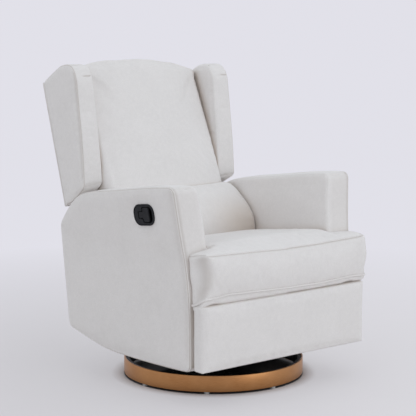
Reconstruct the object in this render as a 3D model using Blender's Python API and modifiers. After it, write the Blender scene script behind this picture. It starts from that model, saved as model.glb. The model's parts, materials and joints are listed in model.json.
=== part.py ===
"""Wing-back recliner on a round swivel base, with a gliding frame and a footrest.

Everything is in metres with +Z up. The sitter faces -Y, and the release paddle is on
the sitter's right, at -X. Places are measured from the swivel axis at floor level, and
the empty "stand" then puts the middle of the whole chair over the origin.
"""
import math

import bmesh
import bpy
from mathutils import Matrix, Vector

# Gaps between pieces
gap = 0.0003
soft_gap = 0.0004
overrun = 0.02
weld_distance = 0.00005

# Stand: the swivel axis lies this far ahead of the middle of the chair
swivel_y = -0.073

# Ring base
ring_radius = 0.300
ring_height = 0.0527
ring_wall = 0.005
ring_edge = 0.0012
glide_count = 8
glide_thickness = 0.006
glide_radius = 0.009
frame_hoop_width = 0.012
frame_hoop_height = 0.040
frame_hoop_drop = 0.004
frame_bar_width = 0.045
frame_bar_height = 0.018
hub_radius = 0.075

# Swivel
swivel_plate_radius = 0.092
swivel_plate_thickness = 0.005
bearing_outer_radius = 0.085
bearing_inner_radius = 0.062
bearing_height = 0.008
turntable_margin = 0.015
turntable_overhang = 0.027
turntable_thickness = 0.006

# Clear width between the arms, which sets every other width
seat_well_half_width = 0.262

# Steel plates, set in layers from the middle outwards on each side
plate_thickness = 0.005
steel_frame_inset = 0.122
plate_pitch = 0.009

# Studs, turned with a collar, a shank and a head
stud_radius = 0.006
stud_collar_radius = 0.009
stud_head_radius = 0.010
stud_head_height = 0.0025

# Glide frame
glide_link_length = 0.100
glide_link_width = 0.025
glide_half_spacing = 0.118
glide_top_height = 0.215
glide_bracket_reach = 0.020

# Steel side plates of the chair
side_plate_skirt = 0.016
side_plate_front = -0.250
side_plate_rear = 0.283
side_plate_flange_top = 0.2915
side_plate_flange_width = 0.087
side_plate_flange_height = 0.004
side_plate_flange_rear = 0.190
side_plate_corner = 0.014
recline_lobe_reach = 0.022
cross_rail_size = 0.025
cross_rail_wall_share = 0.12
cross_rail_front_y = -0.215
cross_rail_front_rise = 0.020
cross_rail_rear_y = 0.200
cross_rail_rear_drop = 0.035

# Footrest linkage
footrest_axis_y = -0.170
footrest_axis_z = 0.265
torque_tube_radius = 0.0125
foot_link_length = 0.150
foot_link_width = 0.026
foot_link_stowed = math.radians(-95)
foot_arm_length = 0.194
foot_arm_stowed = math.radians(50.3)

# Footrest
footrest_inset = 0.007
footrest_low = 0.113
footrest_high = 0.3085
footrest_front = -0.357
footrest_rear = -0.3060
footrest_crown = 0.006
footrest_corner_share = 0.96
board_thickness = 0.016
board_margin = 0.022
foot_bracket_low = 0.150
foot_bracket_high = 0.285

# Recline
recline_axis_y = 0.245
recline_axis_z = 0.345

# Arms
arm_front = -0.305
arm_depth = 0.671
arm_low = 0.105
arm_height = 0.563
arm_width = 0.097
arm_inner_flare = 0.016
arm_outer_flare = 0.0235
arm_flare_from = 0.450
arm_flare_to = 0.662
arm_edge_share = 0.08
arm_end_inset = 0.003
arm_board_inset = 0.034
arm_board_thickness = 0.016
arm_board_bottom_points = 3

# Seat
seat_rail_height = 0.024
seat_rail_width = 0.030
seat_rail_front = -0.270
seat_rail_rear = 0.205
seat_rail_side_gap = 0.0008
spring_count = 3
spring_spacing = 0.115
spring_swing = 0.024
spring_waves = 6
spring_wire = 0.0020
seat_side_gap = 0.0014
seat_ear_overlap = 0.0825
seat_ear_corner = 0.0165
seat_front = -0.357
seat_rear = 0.195
seat_height = 0.151
seat_fall = 0.037
seat_crown = 0.014
seat_bulge = 0.008
ear_rear_low = -0.3095
ear_rear_slope = 0.17
seat_notch_step = 0.030

# Back, measured on a plane that leans with the outside of the back
back_lean = math.atan(0.30)
back_plane_y = 0.338
back_plane_z = 0.400
outside_back_thickness = 0.012
outside_back_edge = 0.003
outside_back_inset = 0.012
outside_back_overlap = 0.0685
outside_back_shoulder = 0.158
outside_back_top = 0.585
outside_back_arch = 0.024
back_frame_depth = 0.027
stile_width = 0.040
stile_low = 0.008
stile_high = 0.545
back_rail_low_height = 0.045
back_rail_high_height = 0.050
strap_width = 0.024
strap_top = 0.190
back_cushion_low = 0.460
back_cushion_high = 1.004
back_cushion_overlap = 0.0035
back_cushion_front_y = 0.236
back_cushion_front_z = 0.611
back_cushion_slope = 0.441
back_cushion_crown = 0.028
back_cushion_arch = 0.048
back_cushion_drop = 0.052

# Lumbar roll
lumbar_low = 0.4600
lumbar_high = 0.606
lumbar_side_gap = 0.0035
lumbar_reach = 0.112
lumbar_crown = 0.010

# Wings
wing_inset = 0.006
wing_width = 0.066
wing_front = 0.269
wing_low = 0.5575
wing_height = 0.468
wing_bullnose = 0.007

# Rear panel between the arms
rear_panel_setback = 0.054
rear_panel_thickness = 0.018
rear_panel_low = 0.165
rear_panel_high = 0.325
panel_edge = 0.004

# Release handle, on its own leaning face
release_y = -0.105
release_z = 0.5755
release_tilt = math.radians(6.6)
bezel_length = 0.100
bezel_height = 0.068
bezel_corner = 0.028
bezel_flange = 0.0035
bezel_stand = 0.0012
cup_margin = 0.006
cup_depth = 0.027
cup_wall = 0.003
recess_depth = 0.022
paddle_thickness = 0.006
paddle_gap = 0.0012
crossbar_length = 0.046
crossbar_width = 0.029
stem_length = 0.021
stem_width = 0.020
finger_gap = 0.019
paddle_pin_radius = 0.0015
paddle_pin_inset = 0.005
paddle_sink = 0.0012
cable_radius = 0.0025
cable_channel_radius = 0.0055
cable_clearance = 0.012
cable_end_y = 0.020
cable_end_z = 0.245
cable_bend = 0.030

# Side outline of an arm, as shares of its depth and height
arm_bottom_shares = (
    (0.000, 0.010), (0.030, 0.004), (0.216, -0.003), (0.450, -0.004),
    (0.590, 0.000), (0.720, 0.021), (0.860, 0.061), (0.940, 0.084),
)
arm_top_shares = (
    (0.078, 1.003), (0.120, 1.006), (0.290, 0.986), (0.520, 0.951),
    (0.745, 0.917), (0.842, 0.880), (0.925, 0.800), (0.996, 0.703),
)
arm_front_shares = (
    (0.000, 0.010), (0.000, 0.050), (0.002, 0.364), (0.022, 0.542),
    (0.049, 0.684), (0.073, 0.965), (0.078, 1.003),
)
arm_rear_shares = (
    (0.940, 0.084), (0.954, 0.130), (0.965, 0.260), (0.980, 0.400),
    (0.997, 0.560), (1.000, 0.650), (0.996, 0.703),
)
arm_board_shares = (
    (0.052, 0.023), (0.600, 0.030), (0.860, 0.120), (0.910, 0.610),
    (0.820, 0.790), (0.120, 0.880),
)

# Side outline of a wing, as shares of its depth and height
wing_depth = 0.2245
wing_bottom_shares = (
    (0.000, 0.160), (0.050, 0.140), (0.190, 0.085), (0.400, 0.020), (0.459, 0.000),
)
wing_top_shares = (
    (0.178, 0.920), (0.240, 0.972), (0.430, 1.000), (0.700, 0.972), (1.000, 0.870),
)
wing_front_shares = (
    (0.000, 0.160), (0.004, 0.215), (0.045, 0.480), (0.107, 0.660), (0.160, 0.860),
    (0.178, 0.920),
)
wing_rear_rise_shares = (0.000, 0.060, 0.360, 0.640, 0.930, 1.000)

# Lines of the seat cushion, across, front to rear and upwards
seat_ear_x_shares = (-1.0, -0.950, -0.50, 0.0, 0.50, 0.950, 1.0)
seat_notch_x_shares = (-0.945, -0.89, -0.50, 0.0, 0.50, 0.89, 0.945)
seat_body_x_shares = (-1.0, -0.92, -0.50, 0.0, 0.50, 0.92, 1.0)
seat_y_shares = (0.000, 0.030, 0.088, 0.088, 0.150, 0.560, 0.950, 1.000)
seat_rise_shares = (0.000, 0.140, 0.900, 1.000)
seat_bulge_shares = (0.10, 1.00, 0.70, 0.00)
seat_fall_shares = (0.10, -0.12, -0.45, -0.50, -0.52, 0.18, 0.84, 0.95)
seat_crown_shares = (0.10, 0.40, 0.80, 0.90, 1.00, 0.90, 0.30, 0.15)

# Lines of the back cushion and the lumbar roll
cushion_x_shares = (-1.0, -0.93, -0.52, 0.0, 0.52, 0.93, 1.0)
cushion_depth_shares = (0.0, 0.16, 0.84, 1.0)
back_rise_shares = (0.000, 0.040, 0.280, 0.530, 0.800, 0.960, 1.000)
back_set_shares = (0.22, 0.04, 0.00, 0.00, 0.00, 0.03, 0.26)
back_width_shares = (0.96, 0.96, 0.98, 1.00, 1.00, 1.00, 1.00)
lumbar_rise_shares = (0.000, 0.090, 0.260, 0.530, 0.850, 1.000)
lumbar_reach_shares = (0.86, 0.98, 1.00, 0.86, 0.48, 0.20)
footrest_rise_shares = (0.0, 0.07, 0.93, 1.0)

# Colours and finishes
fabric_colour = (0.66, 0.65, 0.64)
bronze_colour = (0.42, 0.24, 0.12)
black_colour = (0.018, 0.018, 0.020)
steel_colour = (0.060, 0.060, 0.064)
zinc_colour = (0.45, 0.45, 0.46)
wood_colour = (0.46, 0.31, 0.17)
felt_colour = (0.72, 0.71, 0.68)

# Values worked out from the sizes above
arm_inner_low = seat_well_half_width
arm_inner_top = arm_inner_low + arm_inner_flare
arm_outer_low = arm_inner_low + arm_width
arm_outer_top = arm_outer_low + arm_outer_flare
arm_board_x = arm_inner_low + arm_board_inset
cable_drop_x = arm_board_x + arm_board_thickness + cable_clearance
seat_half_width = seat_well_half_width - seat_side_gap
rear_panel_rear = arm_front + arm_depth - rear_panel_setback
seat_ear_half_width = seat_well_half_width + seat_ear_overlap
footrest_half_width = arm_outer_low - footrest_inset
outside_back_neck = seat_well_half_width - outside_back_inset
outside_back_half_width = seat_well_half_width + outside_back_overlap
back_cushion_half_width = seat_well_half_width + back_cushion_overlap
lumbar_half_width = seat_well_half_width - lumbar_side_gap
wing_inner = seat_well_half_width + wing_inset
wing_outer = wing_inner + wing_width
steel_frame_half_width = seat_well_half_width - steel_frame_inset
turntable_width = 2 * (steel_frame_half_width + turntable_margin)
turntable_depth = 2 * (glide_half_spacing + turntable_overhang)
ring_low = glide_thickness + gap
ring_top = ring_low + ring_height
hoop_radius = ring_radius - ring_wall - gap
frame_low = ring_top - frame_hoop_drop - frame_hoop_height
swivel_low = frame_low + frame_bar_height + gap
bearing_low = swivel_low + swivel_plate_thickness + gap
turntable_low = bearing_low + bearing_height + gap
bracket_low = turntable_low + turntable_thickness + gap
glide_low_height = glide_top_height - glide_link_length
side_plate_low = glide_low_height - side_plate_skirt
cross_rail_front_z = glide_top_height + cross_rail_front_rise
cross_rail_rear_z = glide_top_height - cross_rail_rear_drop
seat_rail_low = side_plate_flange_top + gap
seat_rail_top = seat_rail_low + seat_rail_height
seat_low = seat_rail_top + gap
seat_rail_outer = arm_inner_low - seat_rail_side_gap
seat_rail_inner = seat_rail_outer - seat_rail_width


def layer(index):
    """Inner face of the steel plate in the given layer."""
    return steel_frame_half_width + index * plate_pitch


GLIDE_BRACKET, GLIDE_LINK, SIDE_PLATE, FOOT_LINK, FOOT_ARM, FOOT_BRACKET = range(6)
BACK_BRACKET = FOOT_LINK


def clear_scene():
    for item in list(bpy.data.objects):
        bpy.data.objects.remove(item, do_unlink=True)


def new_collection(name):
    group = bpy.data.collections.new(name)
    bpy.context.scene.collection.children.link(group)
    return group


clear_scene()
parts = new_collection("swivel_glider_recliner")
tools = new_collection("cutters")


def finish_of(name, colour, roughness, metallic=0.0):
    material = bpy.data.materials.new(name)
    material.use_nodes = True
    shader = material.node_tree.nodes["Principled BSDF"]
    shader.inputs["Base Color"].default_value = (*colour, 1)
    shader.inputs["Roughness"].default_value = roughness
    shader.inputs["Metallic"].default_value = metallic
    return material


fabric = finish_of("fabric", fabric_colour, 0.92)
bronze = finish_of("bronze", bronze_colour, 0.38, 1.0)
black_plastic = finish_of("black_plastic", black_colour, 0.45)
black_steel = finish_of("black_steel", steel_colour, 0.50, 0.6)
zinc = finish_of("zinc", zinc_colour, 0.35, 1.0)
wood = finish_of("wood", wood_colour, 0.70)
felt = finish_of("felt", felt_colour, 0.95)


# Empties on the joint axes

def pivot(name, place, parent=None):
    """An empty at a place given from the swivel axis, under another empty."""
    empty = bpy.data.objects.new(name, None)
    parts.objects.link(empty)
    empty["place"] = place
    if parent:
        empty.parent = parent
        empty.location = Vector(place) - Vector(parent["place"])
    else:
        empty.location = place
    return empty


stand = bpy.data.objects.new("stand", None)
parts.objects.link(stand)
stand["place"] = (0, 0, 0)
stand.location = (0, swivel_y, 0)


def on_floor_axis(name, height, parent):
    return pivot(name, (0, 0, height), parent)


turntable = on_floor_axis("swivel_axis", turntable_low, stand)
glide_pivots = {
    (end, side): pivot(
        f"glide_{end}_{side}_axis",
        (sign * layer(GLIDE_LINK), along * glide_half_spacing, glide_top_height),
        turntable,
    )
    for end, along in (("front", -1), ("rear", 1))
    for side, sign in (("left", 1), ("right", -1))
}
chair = pivot(
    "chair_axis", (0, -glide_half_spacing, glide_low_height), glide_pivots["front", "left"]
)
foot_drive = pivot("footrest_axis", (0, footrest_axis_y, footrest_axis_z), chair)


def ahead(place, length, angle):
    """The point a length away from a place, at an angle above the forward direction."""
    along, height = place
    return along - length * math.cos(angle), height + length * math.sin(angle)


foot_knee = ahead((footrest_axis_y, footrest_axis_z), foot_link_length, foot_link_stowed)
foot_tip = ahead(foot_knee, foot_arm_length, foot_arm_stowed)
knee = pivot("foot_arm_axis", (0, *foot_knee), foot_drive)
footrest = pivot("footrest_hinge_axis", (0, *foot_tip), knee)
backrest = pivot("recline_axis", (0, recline_axis_y, recline_axis_z), chair)


# Ways of making a piece

def smooth(mesh, angle=math.radians(35)):
    mesh.shade_smooth()
    mesh.set_sharp_from_angle(angle=angle)


def place_piece(piece, empty, material, collection=parts):
    """Gives a piece its material and hangs it, where it is, on an empty."""
    if collection is parts:
        piece.data.transform(Matrix.Translation(-Vector(empty["place"])))
        piece.parent = empty
        piece.data.materials.clear()
        piece.data.materials.append(material)
    return piece


def mesh_object(name, form, collection):
    mesh = bpy.data.meshes.new(name)
    form.to_mesh(mesh)
    form.free()
    piece = bpy.data.objects.new(name, mesh)
    collection.objects.link(piece)
    return piece


def add_bevel(piece, width, segments=2):
    bevel = piece.modifiers.new("rounded_edges", "BEVEL")
    bevel.width = width
    bevel.segments = segments
    bevel.limit_method = "ANGLE"
    return piece


def block(name, low, high, collection=parts):
    """A box between two corners, made from a cube."""
    form = bmesh.new()
    bmesh.ops.create_cube(form, size=1)
    low, high = Vector(low), Vector(high)
    size = high - low
    for corner in form.verts:
        share = corner.co + Vector((0.5, 0.5, 0.5))
        corner.co = low + Vector(a * b for a, b in zip(share, size))
    bmesh.ops.recalc_face_normals(form, faces=form.faces[:])
    return mesh_object(name, form, collection)


def rod(name, start, end, radius, sides=16, collection=parts):
    """A round bar between two points, made from a cylinder."""
    start, end = Vector(start), Vector(end)
    form = bmesh.new()
    bmesh.ops.create_cone(
        form, cap_ends=True, segments=sides, radius1=radius, radius2=radius,
        depth=(end - start).length,
    )
    turn = Vector((0, 0, 1)).rotation_difference(end - start).to_matrix().to_4x4()
    form.transform(Matrix.Translation((start + end) / 2) @ turn)
    piece = mesh_object(name, form, collection)
    smooth(piece.data)
    return piece


def turned(name, profile, steps, collection=parts, closed=False):
    """A turned piece about Z: the profile runs down its outer side."""
    form = bmesh.new()
    corners = [form.verts.new((radius, 0, height)) for radius, height in profile]
    for first, second in zip(corners, corners[1:]):
        form.edges.new((first, second))
    if closed:
        form.edges.new((corners[-1], corners[0]))
    piece = mesh_object(name, form, collection)
    screw = piece.modifiers.new("turn", "SCREW")
    screw.steps = steps
    screw.render_steps = steps
    screw.use_merge_vertices = True
    screw.merge_threshold = weld_distance
    screw.use_smooth_shade = False
    screw.use_normal_calculate = True
    return baked(piece, collection)


def baked(piece, collection):
    """Turns a curve, or a mesh with modifiers, into a plain welded mesh."""
    name = piece.name
    view = bpy.context.evaluated_depsgraph_get()
    view.update()
    mesh = bpy.data.meshes.new_from_object(piece.evaluated_get(view))
    mesh.transform(piece.matrix_world)
    form = bmesh.new()
    form.from_mesh(mesh)
    bmesh.ops.remove_doubles(form, verts=form.verts[:], dist=weld_distance)
    bmesh.ops.recalc_face_normals(form, faces=form.faces[:])
    bpy.data.objects.remove(piece, do_unlink=True)
    solid = mesh_object(name, form, collection)
    solid.name = name
    smooth(solid.data)
    return solid


def circle(centre, radius, sides=12):
    return [
        (
            centre[0] + radius * math.cos(math.tau * step / sides),
            centre[1] + radius * math.sin(math.tau * step / sides),
        )
        for step in range(sides)
    ]


def rounded(corners, radius, steps=2):
    """An outline with each corner replaced by an arc that touches both sides."""
    outline = []
    for index, corner in enumerate(corners):
        here = Vector(corner)
        before = (Vector(corners[index - 1]) - here).normalized()
        after = (Vector(corners[(index + 1) % len(corners)]) - here).normalized()
        half = before.angle(after) / 2
        centre = here + (before + after).normalized() * radius / math.sin(half)
        reach = radius / math.tan(half)
        first = here + before * reach - centre
        last = here + after * reach - centre
        for step in range(steps + 1):
            spoke = first.lerp(last, step / steps).normalized() * radius
            outline.append(tuple(centre + spoke))
    return outline


def strap(first, second, radius, steps=6):
    """A flat link's outline: two round ends joined by straight sides."""
    first, second = Vector(first), Vector(second)
    heading = math.atan2(second.y - first.y, second.x - first.x)
    outline = []
    for centre, turn in ((first, math.pi / 2), (second, -math.pi / 2)):
        for step in range(steps + 1):
            angle = heading + turn + math.pi * step / steps
            outline.append(
                (centre.x + radius * math.cos(angle), centre.y + radius * math.sin(angle))
            )
    return outline


def flat_plate(name, inner_x, thickness, outline, holes=(), collection=parts):
    """A plate that faces sideways: outline and holes are (y, z) loops."""
    curve = bpy.data.curves.new(name, "CURVE")
    curve.dimensions = "2D"
    curve.fill_mode = "BOTH"
    curve.extrude = abs(thickness) / 2
    for loop in (outline, *holes):
        spline = curve.splines.new("POLY")
        spline.points.add(len(loop) - 1)
        for point, (along, height) in zip(spline.points, loop):
            point.co = (along, height, 0, 1)
        spline.use_cyclic_u = True
    piece = bpy.data.objects.new(name, curve)
    collection.objects.link(piece)
    sideways = Matrix(((0, 0, 1, 0), (1, 0, 0, 0), (0, 1, 0, 0), (0, 0, 0, 1)))
    middle = inner_x + thickness / 2
    piece.matrix_world = Matrix.Translation((middle, 0, 0)) @ sideways
    return baked(piece, collection)


def boolean(piece, tool, operation):
    modifier = piece.modifiers.new(tool.name, "BOOLEAN")
    modifier.operation = operation
    modifier.solver = "EXACT"
    modifier.object = tool
    tool.hide_render = True
    tool.display_type = "WIRE"
    if tool.parent is None:
        tool.data.transform(Matrix.Translation(-Vector(stand["place"])))
        tool.parent = stand
    return piece


def join(piece, tool):
    return boolean(piece, tool, "UNION")


def cut(piece, tool):
    return boolean(piece, tool, "DIFFERENCE")


def stud(name, place, layers, sign):
    """A shouldered stud from one layer's plate through the next layer's link.

    layers are the plate that carries the stud and the link that turns on it.
    """
    carrier, turning = layers
    outward = 1 if turning > carrier else -1
    root = layer(carrier) + plate_thickness / 2
    near = layer(turning) if outward > 0 else layer(turning) + plate_thickness
    far = near + outward * plate_thickness
    collar = abs(near - root) - gap
    shank = abs(far - root) + gap
    head = shank + stud_head_height
    profile = (
        (0, head), (stud_head_radius, head), (stud_head_radius, shank),
        (stud_radius, shank), (stud_radius, collar), (stud_collar_radius, collar),
        (stud_collar_radius, 0), (0, 0),
    )
    piece = turned(name, profile, 12, tools)
    lean = Matrix.Rotation(math.pi / 2 * outward * sign, 4, "Y")
    piece.data.transform(Matrix.Translation((sign * root, *place)) @ lean)
    return piece


def cage(name, counts, place, collection=parts, levels=1):
    """A soft form: a box with even loop cuts, each corner put in its place."""
    form = bmesh.new()
    bmesh.ops.create_cube(form, size=1)
    for corner in form.verts:
        corner.co = Vector((corner.co[axis] + 0.5) * counts[axis] for axis in range(3))
    for axis in range(3):
        normal = Vector(float(axis == other) for other in range(3))
        for line in range(1, counts[axis]):
            everything = form.verts[:] + form.edges[:] + form.faces[:]
            bmesh.ops.bisect_plane(
                form, geom=everything, plane_co=normal * line, plane_no=normal
            )
    for corner in form.verts:
        corner.co = place(*(round(value) for value in corner.co))
    if form.calc_volume(signed=True) < 0:
        bmesh.ops.reverse_faces(form, faces=form.faces[:])
    piece = mesh_object(name, form, collection)
    if levels:
        subdivision = piece.modifiers.new("soft", "SUBSURF")
        subdivision.levels = levels
        subdivision.render_levels = levels
    piece.data.shade_smooth()
    return piece


def patch(bottom, top, front, rear, column, row):
    """A point inside four edge lines that share their corners."""
    across = column / (len(bottom) - 1)
    up = row / (len(front) - 1)
    low, high = Vector(bottom[column]), Vector(top[column])
    near, far = Vector(front[row]), Vector(rear[row])
    corners = (
        Vector(bottom[0]) * (1 - across) * (1 - up)
        + Vector(bottom[-1]) * across * (1 - up)
        + Vector(top[0]) * (1 - across) * up
        + Vector(top[-1]) * across * up
    )
    return low * (1 - up) + high * up + near * (1 - across) + far * across - corners


def wire(name, points, radius, resolution, collection=parts):
    """A round wire through points, with filled ends."""
    curve = bpy.data.curves.new(name, "CURVE")
    curve.dimensions = "3D"
    curve.bevel_depth = radius
    curve.bevel_resolution = resolution
    curve.use_fill_caps = True
    spline = curve.splines.new("POLY")
    spline.points.add(len(points) - 1)
    for point, place in zip(spline.points, points):
        point.co = (*place, 1)
    piece = bpy.data.objects.new(name, curve)
    collection.objects.link(piece)
    return baked(piece, collection)


# Base

def make_base():
    outer, inner = ring_radius, ring_radius - ring_wall
    hoop = turned(
        "base_ring",
        (
            (inner, ring_top), (outer - ring_edge, ring_top), (outer, ring_top - ring_edge),
            (outer, ring_low + ring_edge), (outer - ring_edge, ring_low), (inner, ring_low),
        ),
        48, closed=True,
    )
    place_piece(hoop, stand, bronze)

    inner = hoop_radius - frame_hoop_width
    frame = turned(
        "base_frame",
        (
            (inner, frame_low + frame_hoop_height), (hoop_radius, frame_low + frame_hoop_height),
            (hoop_radius, frame_low), (inner, frame_low),
        ),
        48, closed=True,
    )
    place_piece(frame, stand, black_steel)
    reach = hoop_radius - frame_hoop_width / 2
    half = frame_bar_width / 2
    low, high = frame_low, frame_low + frame_bar_height
    level = gap
    bars = (
        block("bar_across", (-reach, -half, low + level), (reach, half, high - level), tools),
        block("bar_along", (-half, -reach, low + 2 * level), (half, reach, high - 2 * level), tools),
        rod("hub", (0, 0, low), (0, 0, high), hub_radius, 24, tools),
    )
    for bar in bars:
        join(frame, bar)

    for number in range(glide_count):
        angle = math.tau * number / glide_count
        distance = ring_radius - glide_radius
        x, y = distance * math.cos(angle), distance * math.sin(angle)
        glide = rod(
            f"base_glide_{number + 1}", (x, y, 0), (x, y, glide_thickness), glide_radius, 12
        )
        place_piece(glide, stand, felt)

    lower = rod(
        "swivel_lower_plate", (0, 0, swivel_low), (0, 0, swivel_low + swivel_plate_thickness),
        swivel_plate_radius, 24,
    )
    place_piece(lower, stand, zinc)
    race = turned(
        "swivel_bearing",
        (
            (bearing_inner_radius, bearing_low + bearing_height),
            (bearing_outer_radius, bearing_low + bearing_height),
            (bearing_outer_radius, bearing_low),
            (bearing_inner_radius, bearing_low),
        ),
        24, closed=True,
    )
    place_piece(race, stand, zinc)


# Turntable with its glide brackets, and the four swing links

def make_glide():
    plate = block(
        "swivel_upper_plate",
        (-turntable_width / 2, -turntable_depth / 2, turntable_low),
        (turntable_width / 2, turntable_depth / 2, turntable_low + turntable_thickness),
    )
    place_piece(plate, turntable, black_steel)

    ear = glide_bracket_reach
    top = glide_top_height + ear
    wide = glide_half_spacing + ear
    foot = turntable_depth / 2
    shoulder = bracket_low + ear
    outline = rounded(
        [(-foot, bracket_low), (foot, bracket_low), (foot, shoulder), (wide, top),
         (-wide, top), (-foot, shoulder)],
        ear / 4,
    )
    radius = glide_link_width / 2
    for side, sign in (("left", 1), ("right", -1)):
        inner = sign * layer(GLIDE_BRACKET)
        bracket = flat_plate(f"glide_bracket_{side}", inner, sign * plate_thickness, outline)
        place_piece(bracket, turntable, black_steel)
        for end, along in (("front", -1), ("rear", 1)):
            top_pin = (along * glide_half_spacing, glide_top_height)
            low_pin = (along * glide_half_spacing, glide_low_height)
            pin = stud(f"glide_stud_{end}_{side}", top_pin, (GLIDE_BRACKET, GLIDE_LINK), sign)
            join(bracket, pin)
            link = flat_plate(
                f"glide_link_{end}_{side}", sign * layer(GLIDE_LINK), sign * plate_thickness,
                strap(top_pin, low_pin, radius),
                [circle(top_pin, stud_radius + gap), circle(low_pin, stud_radius + gap)],
            )
            place_piece(link, glide_pivots[end, side], zinc)


# Steel frame of the chair

def make_chair_frame():
    low = side_plate_low
    flange = side_plate_flange_top - side_plate_flange_height / 4
    lobe = recline_lobe_reach
    axis = (recline_axis_y, recline_axis_z)
    hollow = side_plate_corner
    outline = rounded(
        [
            (side_plate_front, flange), (side_plate_front, footrest_axis_z - 3 * hollow),
            (-glide_half_spacing - 3 * hollow, low), (glide_half_spacing + 3 * hollow, low),
            (side_plate_rear - hollow, cross_rail_rear_z), (side_plate_rear, axis[1]),
            (axis[0] + lobe, axis[1] + lobe), (axis[0] - lobe, axis[1] + lobe),
            (axis[0] - lobe - hollow, flange),
        ],
        hollow / 2,
    )
    tube_hole = circle((footrest_axis_y, footrest_axis_z), torque_tube_radius + gap, 16)
    for side, sign in (("left", 1), ("right", -1)):
        inner = layer(SIDE_PLATE)
        plate = flat_plate(
            f"side_plate_{side}", sign * inner, sign * plate_thickness, outline, [tube_hole]
        )
        place_piece(plate, chair, black_steel)
        edges = sorted(
            (sign * (inner + plate_thickness / 2), sign * (inner + side_plate_flange_width))
        )
        flange_strip = block(
            f"seat_flange_{side}",
            (edges[0], side_plate_front + gap, side_plate_flange_top - side_plate_flange_height),
            (edges[1], side_plate_flange_rear, side_plate_flange_top),
            tools,
        )
        join(plate, flange_strip)
        for along in (-1, 1):
            low_pin = (along * glide_half_spacing, glide_low_height)
            join(plate, stud(f"swing_stud_{along}_{side}", low_pin, (SIDE_PLATE, GLIDE_LINK), sign))
        join(plate, stud(f"recline_stud_{side}", axis, (SIDE_PLATE, BACK_BRACKET), sign))

    half = cross_rail_size / 2
    reach = layer(SIDE_PLATE) - gap
    for name, y, z in (
        ("cross_rail_front", cross_rail_front_y, cross_rail_front_z),
        ("cross_rail_rear", cross_rail_rear_y, cross_rail_rear_z),
    ):
        rail = block(name, (-reach, y - half, z - half), (reach, y + half, z + half))
        add_bevel(rail, cross_rail_size * cross_rail_wall_share, 1)
        place_piece(rail, chair, black_steel)


# Arms: a board inside an upholstered cover

def arm_point(share):
    return arm_front + share[0] * arm_depth, arm_low + share[1] * arm_height


def flare(height):
    """How far up the flared part of the arm a height lies, from 0 to 1."""
    return max(0, (height - arm_flare_from) / (arm_flare_to - arm_flare_from))


def arm_inner(height):
    return arm_inner_low + (arm_inner_top - arm_inner_low) * flare(height)


def arm_outer(height):
    return arm_outer_low + (arm_outer_top - arm_outer_low) * flare(height)


def arm_place(sign):
    across = (0, arm_edge_share, 1 - arm_edge_share, 1)
    middle = (0.5, 0.5)

    def place(i, j, k):
        share = patch(
            arm_bottom_shares, arm_top_shares, arm_front_shares, arm_rear_shares, j, k
        )
        y, z = arm_point(share)
        if i in (0, 3):
            centre_y, centre_z = arm_point(middle)
            y += arm_end_inset * (1 if y < centre_y else -1) * (j in (0, 7))
            z += arm_end_inset * (1 if z < centre_z else -1) * (k in (0, 6))
        x = arm_inner(z) + (arm_outer(z) - arm_inner(z)) * across[i]
        return Vector((sign * x, y, z))

    return place


def make_arms():
    board_outline = [arm_point(share) for share in arm_board_shares]
    slot_outline = []
    for index, (y, z) in enumerate(board_outline):
        below = index < arm_board_bottom_points
        slot_outline.append((y + math.copysign(gap, y), z - 3 * overrun if below else z + gap))
    slot_outline.append((board_outline[0][0] - gap, board_outline[0][1]))
    for side, sign in (("left", 1), ("right", -1)):
        arm = cage(f"arm_{side}", (3, 7, 6), arm_place(sign))
        place_piece(arm, chair, fabric)
        board = flat_plate(
            f"arm_board_{side}", sign * arm_board_x, sign * arm_board_thickness, board_outline
        )
        place_piece(board, chair, wood)
        slot = flat_plate(
            f"arm_slot_{side}", sign * (arm_board_x - gap),
            sign * (arm_board_thickness + 2 * gap), slot_outline, (), tools,
        )
        cut(arm, slot)


# Seat: four wooden rails, wire springs and the T-shaped cushion

def make_seat():
    low, top = seat_rail_low, seat_rail_top
    front, rear = seat_rail_front, seat_rail_rear
    width = seat_rail_width
    inner, outer = seat_rail_inner, seat_rail_outer
    between = inner - gap
    rails = {
        "seat_rail_left": ((inner, front, low), (outer, rear, top)),
        "seat_rail_right": ((-outer, front, low), (-inner, rear, top)),
        "seat_rail_front": ((-between, front, low), (between, front + width, top)),
        "seat_rail_rear": ((-between, rear - width, low), (between, rear, top)),
    }
    for name, (near, far) in rails.items():
        place_piece(add_bevel(block(name, near, far), 8 * gap, 1), chair, wood)

    start = front + width + gap
    span = rear - front - 2 * width - 2 * gap
    height = (low + top) / 2
    for number in range(spring_count):
        centre = (number - (spring_count - 1) / 2) * spring_spacing
        points = [(centre, start, height), (centre, start + 3 * spring_wire, height)]
        steps = spring_waves * 4
        for step in range(1, steps):
            share = step / steps
            swing = spring_swing * math.sin(math.tau * spring_waves * share)
            points.append((centre + swing, start + span * share, height))
        points.append((centre, start + span - 3 * spring_wire, height))
        points.append((centre, start + span, height))
        spring = wire(f"seat_spring_{number + 1}", points, spring_wire, 0)
        place_piece(spring, chair, zinc)

    place_piece(cage("seat_cushion", (6, 7, 3), seat_place), chair, fabric)


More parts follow.
